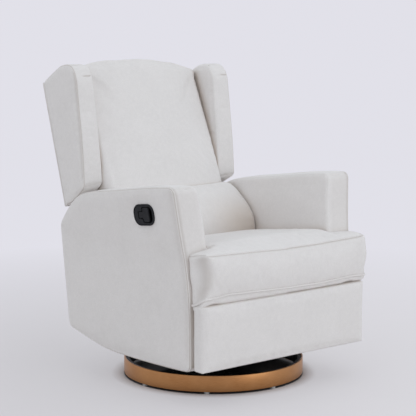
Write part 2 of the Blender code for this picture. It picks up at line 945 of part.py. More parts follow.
def seat_place(i, j, k):
    depth = seat_rear - seat_front
    ear = j <= 2
    if ear:
        x = seat_ear_x_shares[i] * seat_ear_half_width
    elif j == 3:
        x = seat_notch_x_shares[i] * seat_half_width
    else:
        x = seat_body_x_shares[i] * seat_half_width
    side = abs(i - 3) / 3
    rise = seat_rise_shares[k]
    y = seat_front + depth * seat_y_shares[j]
    if j in (2, 3):
        y = ear_rear_low + ear_rear_slope * rise * seat_height
        y += seat_notch_step * (1 - side) * (1 if j == 3 else 0)
    if j == 0:
        y -= seat_bulge * seat_bulge_shares[k]
    if side == 1 and j == 1:
        x += math.copysign(seat_bulge * seat_bulge_shares[k] / 2, x)
    if side == 1 and j == 2:
        x += math.copysign(seat_ear_corner, x)
    top = seat_height - seat_fall * seat_fall_shares[j]
    crown = seat_crown * seat_crown_shares[j] * (1 - side ** 3) * rise
    return Vector((x, y, seat_low + top * rise + crown))


# Back: a leaning frame with brackets, cushions, wings and an outside panel

def on_back(x, along, forward):
    """A point on the leaning back: a distance up it and one in front of its outside."""
    sine, cosine = math.sin(back_lean), math.cos(back_lean)
    return Vector((
        x,
        back_plane_y + along * sine - forward * cosine,
        back_plane_z + along * cosine + forward * sine,
    ))


def behind(height, forward):
    """The y of the leaning plane that lies a distance in front of the outside."""
    slope = math.tan(back_lean)
    return back_plane_y + (height - back_plane_z) * slope - forward / math.cos(back_lean)


def leaning_bar(name, low, high):
    """A bar in the back's own directions: across, up along the lean, and forward."""
    ends = list(zip(low, high))

    def place(i, j, k):
        return on_back(ends[0][i], ends[1][k], ends[2][1 - j])

    return add_bevel(cage(name, (1, 1, 1), place, levels=0), 8 * gap, 1)


frame_behind = outside_back_thickness + gap
frame_front = frame_behind + back_frame_depth
stile_inner = layer(BACK_BRACKET) + plate_thickness + stud_head_height + 3 * gap


def make_back_frame():
    inner, outer = stile_inner, stile_inner + stile_width
    for side, sign in (("left", 1), ("right", -1)):
        edges = sorted((sign * inner, sign * outer))
        stile = leaning_bar(
            f"back_stile_{side}", (edges[0], stile_low, frame_behind),
            (edges[1], stile_high, frame_front),
        )
        place_piece(stile, backrest, wood)
    reach = layer(BACK_BRACKET) - gap
    low = leaning_bar(
        "back_rail_bottom", (-reach, stile_low, frame_behind),
        (reach, stile_low + back_rail_low_height, frame_front),
    )
    high = leaning_bar(
        "back_rail_top", (-inner + gap, stile_high - back_rail_high_height, frame_behind),
        (inner - gap, stile_high, frame_front),
    )
    place_piece(low, backrest, wood)
    place_piece(high, backrest, wood)

    axis = Vector((recline_axis_y, recline_axis_z))
    middle = (frame_behind + frame_front) / 2
    foot = on_back(0, stile_low + back_rail_low_height / 2, middle)
    top = on_back(0, strap_top, middle)
    half = strap_width / 2
    lean = Vector((math.cos(back_lean), -math.sin(back_lean)))
    foot, top = Vector((foot.y, foot.z)), Vector((top.y, top.z))
    lower = strap(tuple(axis), tuple(foot), half + 4 * gap)
    outline = rounded(
        [tuple(foot + lean * half), tuple(top + lean * half),
         tuple(top - lean * half), tuple(foot - lean * half)],
        half / 3,
    )
    for side, sign in (("left", 1), ("right", -1)):
        inner_face = sign * layer(BACK_BRACKET)
        thickness = sign * plate_thickness
        bracket = flat_plate(f"back_bracket_{side}", inner_face, thickness, outline)
        place_piece(bracket, backrest, zinc)
        hinge = flat_plate(
            f"hinge_end_{side}", inner_face + sign * gap / 2, thickness - sign * gap, lower,
            [circle(axis, stud_radius + gap)], tools,
        )
        join(bracket, hinge)


def back_cushion_place(i, j, k):
    x_share = cushion_x_shares[i]
    bow = 1 - x_share ** 2
    rise = back_rise_shares[k]
    z = back_cushion_low + (back_cushion_high - back_cushion_low) * rise
    deep = cushion_depth_shares[j]
    top_share = max(0, (rise - 0.5) * 2) ** 2
    height = z + back_cushion_arch * bow * top_share
    front = back_cushion_front_y + (height - back_cushion_front_z) * back_cushion_slope
    front -= back_cushion_crown * bow
    front += back_cushion_crown * back_set_shares[k]
    height -= back_cushion_drop * top_share * deep
    rear = behind(height, frame_front + gap)
    edge = 1 if abs(x_share) < 1 or j in (1, 2) else 0
    x = x_share * back_cushion_half_width * back_width_shares[k]
    y = front + (rear - front) * deep
    if not edge and j == 0:
        y += back_cushion_crown / 4
    return Vector((x, y, height))


def lumbar_place(i, j, k):
    x_share = cushion_x_shares[i]
    bow = 1 - x_share ** 2
    z = lumbar_low + (lumbar_high - lumbar_low) * lumbar_rise_shares[k]
    rear = back_cushion_front_y + (z - back_cushion_front_z) * back_cushion_slope
    rear -= back_cushion_crown * bow + soft_gap
    centre_reach = lumbar_reach - back_cushion_crown * bow + lumbar_crown * bow
    front = rear - centre_reach * lumbar_reach_shares[k]
    deep = cushion_depth_shares[j]
    x = x_share * lumbar_half_width
    return Vector((x, front + (rear - front) * deep, z))


def wing_place(sign):
    panel_front = frame_behind + gap

    def rear_point(share):
        height = wing_low + share * wing_height
        return (behind(height, panel_front) - wing_front) / wing_depth, share

    low_rear = wing_bottom_shares[-1][1]
    high_rear = wing_top_shares[-1][1]
    rear_shares = [
        rear_point(low_rear + (high_rear - low_rear) * step) for step in wing_rear_rise_shares
    ]
    bottom = [*wing_bottom_shares[:-1], rear_shares[0]]
    top = [*wing_top_shares[:-1], rear_shares[-1]]
    across = (0, 0.10, 0.90, 1)

    def place(i, j, k):
        share = patch(bottom, top, wing_front_shares, rear_shares, j, k)
        y = wing_front + share[0] * wing_depth
        z = wing_low + share[1] * wing_height
        if i in (0, 3):
            y += wing_bullnose * (j == 0)
            z += wing_bullnose / 2 * ((k == 0) - (k == 5))
        x = wing_inner + (wing_outer - wing_inner) * across[i]
        return Vector((sign * x, y, z))

    return place


def outside_back_place(i, j, k):
    levels = (
        0, outside_back_shoulder - outside_back_edge, outside_back_shoulder,
        outside_back_top - 4 * outside_back_edge, outside_back_top,
    )
    half = outside_back_neck if k < 2 else outside_back_half_width
    x_share = cushion_x_shares[i]
    along = levels[k]
    if k > 2:
        along += outside_back_arch * (1 - x_share ** 2)
    return on_back(x_share * half, along, outside_back_thickness * (1 - j))


def make_back():
    make_back_frame()
    cushion = cage("back_cushion", (6, 3, 6), back_cushion_place)
    place_piece(cushion, backrest, fabric)
    roll = cage("lumbar_cushion", (6, 3, 5), lumbar_place)
    place_piece(roll, backrest, fabric)
    for side, sign in (("left", 1), ("right", -1)):
        wing = cage(f"wing_{side}", (3, 4, 5), wing_place(sign))
        place_piece(wing, backrest, fabric)
    panel = cage("outside_back", (6, 1, 4), outside_back_place, levels=0)
    add_bevel(panel, outside_back_edge, 1)
    place_piece(panel, backrest, fabric)


# Footrest and the links that carry it

def make_footrest():
    radius = foot_link_width / 2
    axis = (footrest_axis_y, footrest_axis_z)
    reach = layer(FOOT_LINK) + plate_thickness
    tube = rod("torque_tube", (-reach, *axis), (reach, *axis), torque_tube_radius, 16)
    place_piece(tube, foot_drive, black_steel)
    tip_y, tip_z = foot_tip
    board_rear = footrest_rear - gap
    bracket_outline = rounded(
        [
            (board_rear + gap, foot_bracket_low), (board_rear + radius, foot_bracket_low),
            (tip_y + radius, tip_z - radius), (tip_y + radius, tip_z + radius),
            (board_rear + gap, foot_bracket_high),
        ],
        radius / 4,
    )
    for side, sign in (("left", 1), ("right", -1)):
        link = flat_plate(
            f"foot_link_{side}", sign * layer(FOOT_LINK), sign * plate_thickness,
            strap(axis, foot_knee, torque_tube_radius + radius / 3),
            [circle(axis, torque_tube_radius + gap, 16)],
        )
        place_piece(link, foot_drive, zinc)
        join(link, stud(f"knee_stud_{side}", foot_knee, (FOOT_LINK, FOOT_ARM), sign))
        arm = flat_plate(
            f"foot_arm_{side}", sign * layer(FOOT_ARM), sign * plate_thickness,
            strap(foot_knee, foot_tip, radius),
            [circle(foot_knee, stud_radius + gap), circle(foot_tip, stud_radius + gap)],
        )
        place_piece(arm, knee, zinc)
        bracket = flat_plate(
            f"foot_bracket_{side}", sign * layer(FOOT_BRACKET), sign * plate_thickness,
            bracket_outline,
        )
        place_piece(bracket, footrest, black_steel)
        join(bracket, stud(f"tip_stud_{side}", foot_tip, (FOOT_BRACKET, FOOT_ARM), sign))

    half = footrest_half_width - board_margin
    low, high = footrest_low + board_margin, footrest_high - board_margin / 2
    board = block(
        "footrest_board", (-half, board_rear - board_thickness, low), (half, board_rear, high)
    )
    place_piece(add_bevel(board, 4 * gap, 1), footrest, wood)
    pad = cage("footrest_pad", (6, 3, 3), footrest_place)
    place_piece(pad, footrest, fabric)
    pocket = block(
        "board_pocket",
        (-half - gap, board_rear - board_thickness - gap, low - gap),
        (half + gap, board_rear + overrun, high + gap), tools,
    )
    cut(pad, pocket)


def footrest_place(i, j, k):
    corner = footrest_corner_share
    x_shares = (-1, -corner, -corner / 2, 0, corner / 2, corner, 1)
    x_share = x_shares[i]
    deep = cushion_depth_shares[j]
    rise = footrest_rise_shares[k]
    z = footrest_low + (footrest_high - footrest_low) * rise
    y = footrest_front + (footrest_rear - footrest_front) * deep
    if j == 0:
        inside = abs(x_share) < 1 and k in (1, 2)
        y -= footrest_crown * (1 if inside else -1)
    return Vector((x_share * footrest_half_width, y, z))


def make_rear_panel():
    half = arm_inner_low - seat_rail_side_gap
    panel = block(
        "rear_panel", (-half, rear_panel_rear - rear_panel_thickness, rear_panel_low),
        (half, rear_panel_rear, rear_panel_high),
    )
    place_piece(add_bevel(panel, panel_edge), chair, fabric)


# Release handle on the right arm, made flat and then leaned with the arm's face

def release_frame():
    """From (outwards, forwards from the middle, up) to the arm's leaning face."""
    rise = arm_flare_to - arm_flare_from
    lean = math.atan((arm_outer_top - arm_outer_low) / rise)
    outwards = Vector((-math.cos(lean), 0, -math.sin(lean)))
    up = Vector((-math.sin(lean), 0, math.cos(lean)))
    turn = Matrix((outwards, Vector((0, -1, 0)), up)).transposed().to_4x4()
    tilt = Matrix.Rotation(release_tilt, 4, "X")
    return Matrix.Translation((-arm_outer(release_z), release_y, release_z)) @ turn @ tilt


def release_plate(name, outline, low, high, collection=tools):
    """A plate in the handle's face: outline is (forwards, up), low to high outwards."""
    piece = flat_plate(name, low, high - low, outline, (), collection)
    piece.data.transform(release_frame())
    return piece


def oval(length, height, corner):
    x, z = length / 2, height / 2
    return rounded([(-x, -z), (x, -z), (x, z), (-x, z)], corner, 5)


def make_release():
    back = bezel_stand
    face = bezel_stand + bezel_flange
    cup_length, cup_height = bezel_length - 2 * cup_margin, bezel_height - 2 * cup_margin
    cup_corner = bezel_corner - cup_margin
    bezel = release_plate(
        "release_bezel", oval(bezel_length, bezel_height, bezel_corner), back, face, parts
    )
    cup = release_plate(
        "bezel_cup", oval(cup_length, cup_height, cup_corner), -cup_depth, back + bezel_flange / 2
    )
    join(bezel, cup)
    inner_length, inner_height = cup_length - 2 * cup_wall, cup_height - 2 * cup_wall
    front = inner_length / 2
    bar_high = crossbar_length / 2 + paddle_gap
    bar_front = front - finger_gap + paddle_gap
    bar_rear = bar_front - crossbar_width - 2 * paddle_gap
    stem_high = stem_width / 2 + paddle_gap
    stem_rear = bar_rear - stem_length
    recess = release_plate(
        "recess_cut",
        rounded(
            [
                (front, -bar_high), (front, bar_high), (bar_rear, bar_high),
                (bar_rear, stem_high), (stem_rear, stem_high), (stem_rear, -stem_high),
                (bar_rear, -stem_high), (bar_rear, -bar_high),
            ],
            paddle_gap,
        ),
        face - recess_depth, face + overrun,
    )
    cut(bezel, recess)
    place_piece(bezel, chair, black_plastic)

    edge = paddle_gap
    paddle_outline = rounded(
        [
            (bar_front - edge, -bar_high + edge), (bar_front - edge, bar_high - edge),
            (bar_rear + edge, bar_high - edge), (bar_rear + edge, stem_high - edge),
            (stem_rear + edge, stem_high - edge), (stem_rear + edge, -stem_high + edge),
            (bar_rear + edge, -stem_high + edge), (bar_rear + edge, -bar_high + edge),
        ],
        paddle_gap,
    )
    outer_face = face - paddle_sink
    depth = outer_face - paddle_thickness / 2
    pin_place = stem_rear + edge + paddle_pin_inset
    frame = release_frame()
    hinge = pivot("paddle_axis", tuple(frame @ Vector((depth, pin_place, 0))), chair)
    paddle = release_plate(
        "release_paddle", paddle_outline, outer_face - paddle_thickness, outer_face, parts
    )
    place_piece(paddle, hinge, black_plastic)
    ends = [frame @ Vector((depth, pin_place, sign * (stem_high - gap))) for sign in (-1, 1)]
    pin = rod("paddle_pin", ends[0], ends[1], paddle_pin_radius, 12)
    place_piece(pin, chair, zinc)
    past = [frame @ Vector((depth, pin_place, sign * stem_high * 2)) for sign in (-1, 1)]
    cut(paddle, rod("pin_bore", past[0], past[1], paddle_pin_radius + gap, 12, tools))

    arm = bpy.data.objects["arm_right"]
    pocket = release_plate(
        "bezel_pocket", oval(cup_length + 2 * gap, cup_height + 2 * gap, cup_corner + gap),
        -cup_depth - gap, overrun,
    )
    cut(arm, pocket)
    flat = release_plate(
        "bezel_seat", oval(bezel_length + 2 * gap, bezel_height + 2 * gap, bezel_corner + gap),
        bezel_stand - gap, overrun,
    )
    cut(arm, flat)

    drop, bend = cable_drop_x, cable_bend
    start = frame @ Vector((-cup_depth - gap, -cup_length / 4, 0))
    leaving = frame @ Vector((-cup_depth - bend / 4, -cup_length / 4, 0))
    end_x = layer(SIDE_PLATE) + plate_thickness + gap
    route = [
        start,
        leaving,
        Vector((-drop, start.y, start.z - bend / 2)),
        Vector((-drop, (start.y + cable_end_y) / 2, (start.z + cable_end_z) / 2)),
        Vector((-drop, cable_end_y, cable_end_z + bend)),
        Vector((-drop + bend / 4, cable_end_y, cable_end_z + bend / 4)),
        Vector((-drop + bend, cable_end_y, cable_end_z)),
        Vector((-end_x, cable_end_y, cable_end_z)),
    ]
    place_piece(wire("release_cable", route, cable_radius, 1), chair, black_plastic)
    into_cup = frame @ Vector((-cup_depth + cup_wall, -cup_length / 4, 0))
    channel_route = [into_cup, *route[1:-1], Vector((-arm_inner_low + overrun, *route[-1][1:]))]
    channel = wire("cable_channel", channel_route, cable_channel_radius, 1, tools)
    cut(arm, channel)
    cut(bpy.data.objects["arm_board_right"], channel)


make_base()
make_glide()
make_chair_frame()
make_arms()
make_seat()
make_rear_panel()
make_back()
make_footrest()
make_release()
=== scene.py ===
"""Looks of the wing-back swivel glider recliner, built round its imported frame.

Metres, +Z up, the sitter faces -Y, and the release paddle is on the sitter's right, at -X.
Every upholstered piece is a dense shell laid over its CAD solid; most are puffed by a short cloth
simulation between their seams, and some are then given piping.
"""

import json
import math

import bpy
import numpy as np
from mathutils import Matrix, Vector, noise
from mathutils.bvhtree import BVHTree


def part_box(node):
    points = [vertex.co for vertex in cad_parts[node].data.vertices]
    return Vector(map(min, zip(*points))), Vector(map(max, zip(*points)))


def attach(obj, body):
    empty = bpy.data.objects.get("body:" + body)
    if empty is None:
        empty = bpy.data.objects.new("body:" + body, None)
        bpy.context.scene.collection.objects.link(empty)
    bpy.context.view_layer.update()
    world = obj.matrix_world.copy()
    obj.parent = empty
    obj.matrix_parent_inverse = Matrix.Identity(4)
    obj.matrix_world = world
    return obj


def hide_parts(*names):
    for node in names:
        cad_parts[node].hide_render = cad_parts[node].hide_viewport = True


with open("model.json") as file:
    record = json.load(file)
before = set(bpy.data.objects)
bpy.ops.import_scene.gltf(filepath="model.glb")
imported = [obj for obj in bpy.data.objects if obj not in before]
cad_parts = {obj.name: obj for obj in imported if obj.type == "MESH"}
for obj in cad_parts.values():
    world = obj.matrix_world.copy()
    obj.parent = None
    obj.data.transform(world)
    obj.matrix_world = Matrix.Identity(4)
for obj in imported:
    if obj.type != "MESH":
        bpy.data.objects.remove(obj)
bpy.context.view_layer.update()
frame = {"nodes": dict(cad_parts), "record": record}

# Camera, solved from the ring base in the photograph
image_size = 416
focal_pixels = 1416
sensor_width = 36
camera_place = (-3.051, -3.600, 1.163)
camera_heading = math.radians(40.63)
camera_dip = math.radians(7.43)
camera_roll = math.radians(0.07)

# Sizes shared by the pieces
swivel_y = -0.073
cloth_step = 0.0085
fine_cloth_step = 0.0075
piping_radius = 0.0027

# Side outline of an arm, as shares of its depth and height
arm_bottom_shares = (
    (0.000, 0.010), (0.030, 0.004), (0.216, -0.003), (0.450, -0.004),
    (0.590, 0.000), (0.720, 0.021), (0.860, 0.061), (0.940, 0.084),
)
arm_top_shares = (
    (0.078, 1.004), (0.120, 1.008), (0.290, 0.987), (0.440, 0.962), (0.530, 0.948),
    (0.745, 0.918), (0.842, 0.882), (0.925, 0.800), (0.997, 0.700),
)
arm_front_shares = (
    (0.000, 0.010), (0.000, 0.050), (0.002, 0.364), (0.022, 0.542),
    (0.049, 0.684), (0.073, 0.965), (0.078, 1.004),
)
arm_rear_shares = (
    (0.940, 0.084), (0.954, 0.130), (0.966, 0.260), (0.981, 0.400),
    (1.000, 0.560), (1.004, 0.650), (0.997, 0.700),
)
arm_front = -0.378
arm_depth = 0.671
arm_low = 0.105
arm_height = 0.563
arm_inner_flare = 0.018
arm_inner_room = 0.0010
arm_inner_bend = 1.8
arm_flare_ease = 0.04
arm_outer_flare = 0.0235
arm_flare_from = 0.450
arm_flare_to = 0.662


# Small helpers for numbers

def smoothstep(value, low=0.0, high=1.0):
    share = np.clip((value - low) / (high - low), 0, 1)
    return share * share * (3 - 2 * share)


def falling(value, low, high):
    """A smooth fall from 1 at low to 0 at high."""
    return 1 - smoothstep(value, low, high)


def hump(value, centre, width):
    return np.exp(-(((value - centre) / width) ** 2))


def ripple(points, scale, seed=0.0):
    """Smooth noise from -1 to 1 at points, with features about 1 / scale apart."""
    shift = Vector((seed * 7.3, seed * 3.1, seed * 5.7))
    return np.array([noise.noise(Vector(p) * scale + shift) for p in points])


def curve_at(points, share):
    """Points at shares of the length of a soft curve along points, from end to end."""
    points = np.asarray(points, float)
    held = np.concatenate([points[:1], points[:1], points, points[-1:], points[-1:]])
    place = np.linspace(0, len(held) - 3 - 1e-9, 400)
    index = place.astype(int)
    t = (place - index)[:, None]
    a, b, c, d = (held[index + n] for n in range(4))
    dense = (
        (1 - t) ** 3 * a + (3 * t**3 - 6 * t**2 + 4) * b
        + (3 * t**2 * (1 - t) + 3 * t + 1) * c + t**3 * d
    ) / 6
    gaps = np.linalg.norm(np.diff(dense, axis=0), axis=1)
    along = np.concatenate(([0], np.cumsum(gaps))) / gaps.sum()
    share = np.clip(np.asarray(share, float), 0, 1)
    return np.stack([np.interp(share, along, dense[:, n]) for n in range(2)], axis=-1)


def patch_at(bottom, top, front, rear, across, up):
    """Points inside four edge curves that share their corners."""
    across, up = np.asarray(across), np.asarray(up)
    a, u = across[..., None], up[..., None]
    b, t, f, r = (np.asarray(line, float) for line in (bottom, top, front, rear))
    corners = (1 - a) * (1 - u) * b[0] + a * (1 - u) * b[-1] + (1 - a) * u * t[0] + a * u * t[-1]
    sides = (1 - u) * curve_at(b, across) + u * curve_at(t, across)
    ends = (1 - a) * curve_at(f, up) + a * curve_at(r, up)
    return sides + ends - corners


def in_scene(name, data):
    """A new object of the scene that shows data."""
    piece = bpy.data.objects.new(name, data)
    bpy.context.scene.collection.objects.link(piece)
    return piece


def circle(centre, radius, height, steps, way=1):
    """Points round an upright axis, at a height above its centre."""
    turns = [way * math.tau * n / steps for n in range(steps)]
    x, y, z = centre
    return [(x + radius * math.cos(t), y + radius * math.sin(t), z + height) for t in turns]


# Camera

def make_camera():
    heading, dip = camera_heading, camera_dip
    forward = Vector((
        math.sin(heading) * math.cos(dip), math.cos(heading) * math.cos(dip), -math.sin(dip)
    ))
    right = Vector((math.cos(heading), -math.sin(heading), 0))
    up = right.cross(forward)
    turn = Matrix((right, up, -forward)).transposed()
    turn = turn @ Matrix.Rotation(camera_roll, 3, "Z")
    data = bpy.data.cameras.new("camera")
    data.sensor_width = sensor_width
    data.lens = focal_pixels / image_size * sensor_width
    data.clip_end = 50
    camera = in_scene("camera", data)
    camera.matrix_world = Matrix.Translation(camera_place) @ turn.to_4x4()
    bpy.context.scene.camera = camera


# Materials

class Nodes:
    """Adds shader nodes to a material, or to the world, by short calls."""

    def __init__(self, owner):
        self.owner = owner
        owner.use_nodes = True
        self.tree = owner.node_tree
        self.shader = self.tree.nodes.get("Principled BSDF")

    def add(self, kind, **values):
        node = self.tree.nodes.new(kind)
        for key, value in values.items():
            if hasattr(node, key):
                setattr(node, key, value)
            else:
                node.inputs[key.replace("_", " ")].default_value = value
        return node

    def link(self, source, target):
        self.tree.links.new(source, target)

    def position(self, stretch=(1, 1, 1)):
        place = self.add("ShaderNodeTexCoord")
        scaled = self.add("ShaderNodeMapping")
        scaled.inputs["Scale"].default_value = stretch
        self.link(place.outputs["Object"], scaled.inputs["Vector"])
        return scaled.outputs["Vector"]

    def noise(self, scale, detail=2.0, stretch=(1, 1, 1)):
        node = self.add("ShaderNodeTexNoise", Scale=scale, Detail=detail)
        self.link(self.position(stretch), node.inputs["Vector"])
        return node.outputs["Fac"]

    def span(self, value, low, high, start=0.0, end=1.0):
        """Maps start to low and end to high, and holds what lies outside."""
        node = self.add("ShaderNodeMapRange")
        for key, number in (
            ("From Min", start), ("From Max", end), ("To Min", low), ("To Max", high)
        ):
            node.inputs[key].default_value = number
        self.link(value, node.inputs["Value"])
        return node.outputs["Result"]

    def math(self, operation, first, second):
        node = self.add("ShaderNodeMath", operation=operation)
        for slot, value in enumerate((first, second)):
            if isinstance(value, (int, float)):
                node.inputs[slot].default_value = value
            else:
                self.link(value, node.inputs[slot])
        return node.outputs["Value"]

    def mix(self, factor, first, second):
        node = self.add("ShaderNodeMix", data_type="RGBA")
        if isinstance(factor, (int, float)):
            node.inputs["Factor"].default_value = factor
        else:
            self.link(factor, node.inputs["Factor"])
        for slot, value in ((6, first), (7, second)):
            if isinstance(value, tuple):
                node.inputs[slot].default_value = (*value, 1)
            else:
                self.link(value, node.inputs[slot])
        return node.outputs[2]

    def tones(self, value, dark, light, low=0.3, high=0.7):
        """A mix of two colours that a noise leads from one to the other."""
        return self.mix(self.span(value, 0, 1, low, high), dark, light)

    def blend(self, amount, first, second, output):
        """Leads a mix of two shaders to the output."""
        node = self.add("ShaderNodeMixShader")
        self.link(amount, node.inputs[0])
        self.link(first.outputs[0], node.inputs[1])
        self.link(second.outputs[0], node.inputs[2])
        self.link(node.outputs[0], output.inputs["Surface"])

    def attribute(self, name):
        node = self.add("ShaderNodeAttribute")
        node.attribute_name = name
        return node.outputs["Fac"]

    def bump(self, height, strength, distance, normal=None):
        node = self.add("ShaderNodeBump", Strength=strength, Distance=distance)
        self.link(height, node.inputs["Height"])
        if normal:
            self.link(normal, node.inputs["Normal"])
        return node.outputs["Normal"]

    def finish(self, colour=None, normal=None, roughness=None, **constants):
        if colour is not None:
            self.link(colour, self.shader.inputs["Base Color"])
        if normal is not None:
            self.link(normal, self.shader.inputs["Normal"])
        if roughness is not None:
            self.link(roughness, self.shader.inputs["Roughness"])
        for key, value in constants.items():
            self.shader.inputs[key.replace("_", " ")].default_value = value
        return self.owner


def material_nodes(name):
    return Nodes(bpy.data.materials.new(name))


# Plain colours of the finishes, dark and light where a noise mixes the two
cloth_tones = (0.732, 0.700, 0.680), (0.759, 0.726, 0.707)
cloth_mottle = (0.800, 0.766, 0.746)
cloth_nap = (0.669, 0.632, 0.604)
# Warm dark colour of the shade painted into creases and hollows
cloth_painted_shade = (0.600, 0.528, 0.470)
# Dark colour of the seams' lines, also used for shade painted on folds, tucks, hollows and bands
cloth_seam_and_painted_shade = (0.410, 0.350, 0.305)
piping_tones = (0.685, 0.650, 0.626), (0.768, 0.733, 0.710)
bronze_tones = (0.385, 0.170, 0.060), (0.495, 0.240, 0.092)
bronze_cloud = (0.585, 0.310, 0.134)
paint_tones = (0.016, 0.015, 0.015), (0.040, 0.037, 0.036)
zinc_tones = (0.44, 0.44, 0.44), (0.58, 0.58, 0.57)
plastic_tones = (0.0240, 0.0240, 0.0265), (0.0320, 0.0320, 0.0350)
wood_tones = (0.36, 0.22, 0.11), (0.60, 0.43, 0.25)
wood_fibre = (0.28, 0.16, 0.08)
felt_tones = (0.30, 0.29, 0.28), (0.42, 0.41, 0.39)


def fabric_material():
    nodes = material_nodes("fabric")
    cloud = nodes.noise(9, 3)
    mottle = nodes.noise(70, 4)
    nap = nodes.noise(420, 3, (1, 1, 0.45))
    weft = nodes.noise(900, 2, (0.25, 0.25, 1.6))
    warp = nodes.noise(900, 2, (1.6, 1.6, 0.25))
    weave = nodes.math("ADD", weft, warp)
    tone = nodes.tones(cloud, *cloth_tones, 0.35, 0.65)
    tone = nodes.mix(nodes.span(mottle, 0.0, 0.55, 0.30, 0.72), tone, cloth_mottle)
    tone = nodes.mix(nodes.span(nap, 0.35, 0.0, 0.30, 0.60), tone, cloth_nap)
    # Painted shade in the creases and hollows between the cushions
    tone = nodes.mix(nodes.attribute("painted_crease_shade"), tone, cloth_painted_shade)
    # Seam lines darkened, together with painted shade on folds, tucks, hollows and bands
    tone = nodes.mix(nodes.attribute("seam"), tone, cloth_seam_and_painted_shade)
    normal = nodes.bump(weave, 0.35, 0.0009)
    normal = nodes.bump(nap, 0.30, 0.0012, normal)
    return nodes.finish(
        tone, normal, Roughness=0.92, Sheen_Weight=0.28, Sheen_Roughness=0.45,
        Specular_IOR_Level=0.25,
    )


def piping_material():
    nodes = material_nodes("fabric_piping")
    nap = nodes.noise(700, 3)
    tone = nodes.tones(nap, *piping_tones)
    normal = nodes.bump(nap, 0.3, 0.0008)
    return nodes.finish(
        tone, normal, Roughness=0.92, Sheen_Weight=0.25, Sheen_Roughness=0.45,
        Specular_IOR_Level=0.25,
    )


def bronze_material():
    nodes = material_nodes("bronze")
    brushed = nodes.noise(60, 3, (1, 1, 26))
    cloud = nodes.noise(7, 3)
    tone = nodes.tones(brushed, *bronze_tones)
    tone = nodes.mix(nodes.span(cloud, 0, 0.5, 0.35, 0.7), tone, bronze_cloud)
    roughness = nodes.span(brushed, 0.32, 0.44, 0.3, 0.7)
    normal = nodes.bump(brushed, 0.12, 0.0006)
    return nodes.finish(tone, normal, roughness, Metallic=0.85)


def painted_steel_material():
    nodes = material_nodes("black_steel")
    grain = nodes.noise(500, 2)
    wear = nodes.noise(30, 4)
    tone = nodes.tones(wear, *paint_tones, 0.45, 0.75)
    normal = nodes.bump(grain, 0.12, 0.0004)
    return nodes.finish(
        tone, normal, nodes.span(wear, 0.45, 0.60), Metallic=0.0, Specular_IOR_Level=0.25
    )


def plated_steel_material():
    nodes = material_nodes("zinc")
    grain = nodes.noise(220, 3, (1, 1, 0.3))
    cloud = nodes.noise(24, 3)
    tone = nodes.tones(cloud, *zinc_tones)
    normal = nodes.bump(grain, 0.08, 0.0003)
    return nodes.finish(tone, normal, nodes.span(grain, 0.28, 0.42), Metallic=1.0)


def plastic_material():
    nodes = material_nodes("black_plastic")
    grain = nodes.noise(1400, 2)
    cloud = nodes.noise(60, 3)
    tone = nodes.tones(cloud, *plastic_tones)
    normal = nodes.bump(grain, 0.10, 0.0003)
    roughness = nodes.span(cloud, 0.42, 0.52, 0.3, 0.7)
    return nodes.finish(tone, normal, roughness, Specular_IOR_Level=0.05)


def wood_material():
    nodes = material_nodes("wood")
    grain = nodes.noise(18, 5, (14, 1, 14))
    fibre = nodes.noise(160, 3, (6, 0.5, 6))
    tone = nodes.tones(grain, *wood_tones)
    tone = nodes.mix(nodes.span(fibre, 0, 0.3, 0.4, 0.7), tone, wood_fibre)
    normal = nodes.bump(fibre, 0.2, 0.0006)
    return nodes.finish(tone, normal, Roughness=0.68)


def felt_material():
    nodes = material_nodes("felt")
    fuzz = nodes.noise(900, 3)
    tone = nodes.tones(fuzz, *felt_tones)
    normal = nodes.bump(fuzz, 0.5, 0.001)
    return nodes.finish(tone, normal, Roughness=0.95)


finishes = {
    "fabric": fabric_material(),
    "piping": piping_material(),
    "bronze": bronze_material(),
    "black_steel": painted_steel_material(),
    "zinc": plated_steel_material(),
    "black_plastic": plastic_material(),
    "wood": wood_material(),
    "felt": felt_material(),
}


def dress_frame():
    """Gives every CAD node the finish of its slot in the record."""
    for part in frame["record"]["subparts"]:
        node = frame["nodes"][part["node"]]
        node.data.materials.clear()
        node.data.materials.append(finishes[part["material_slot"]])


# Shells: closed meshes over the outside of a lattice of boxes

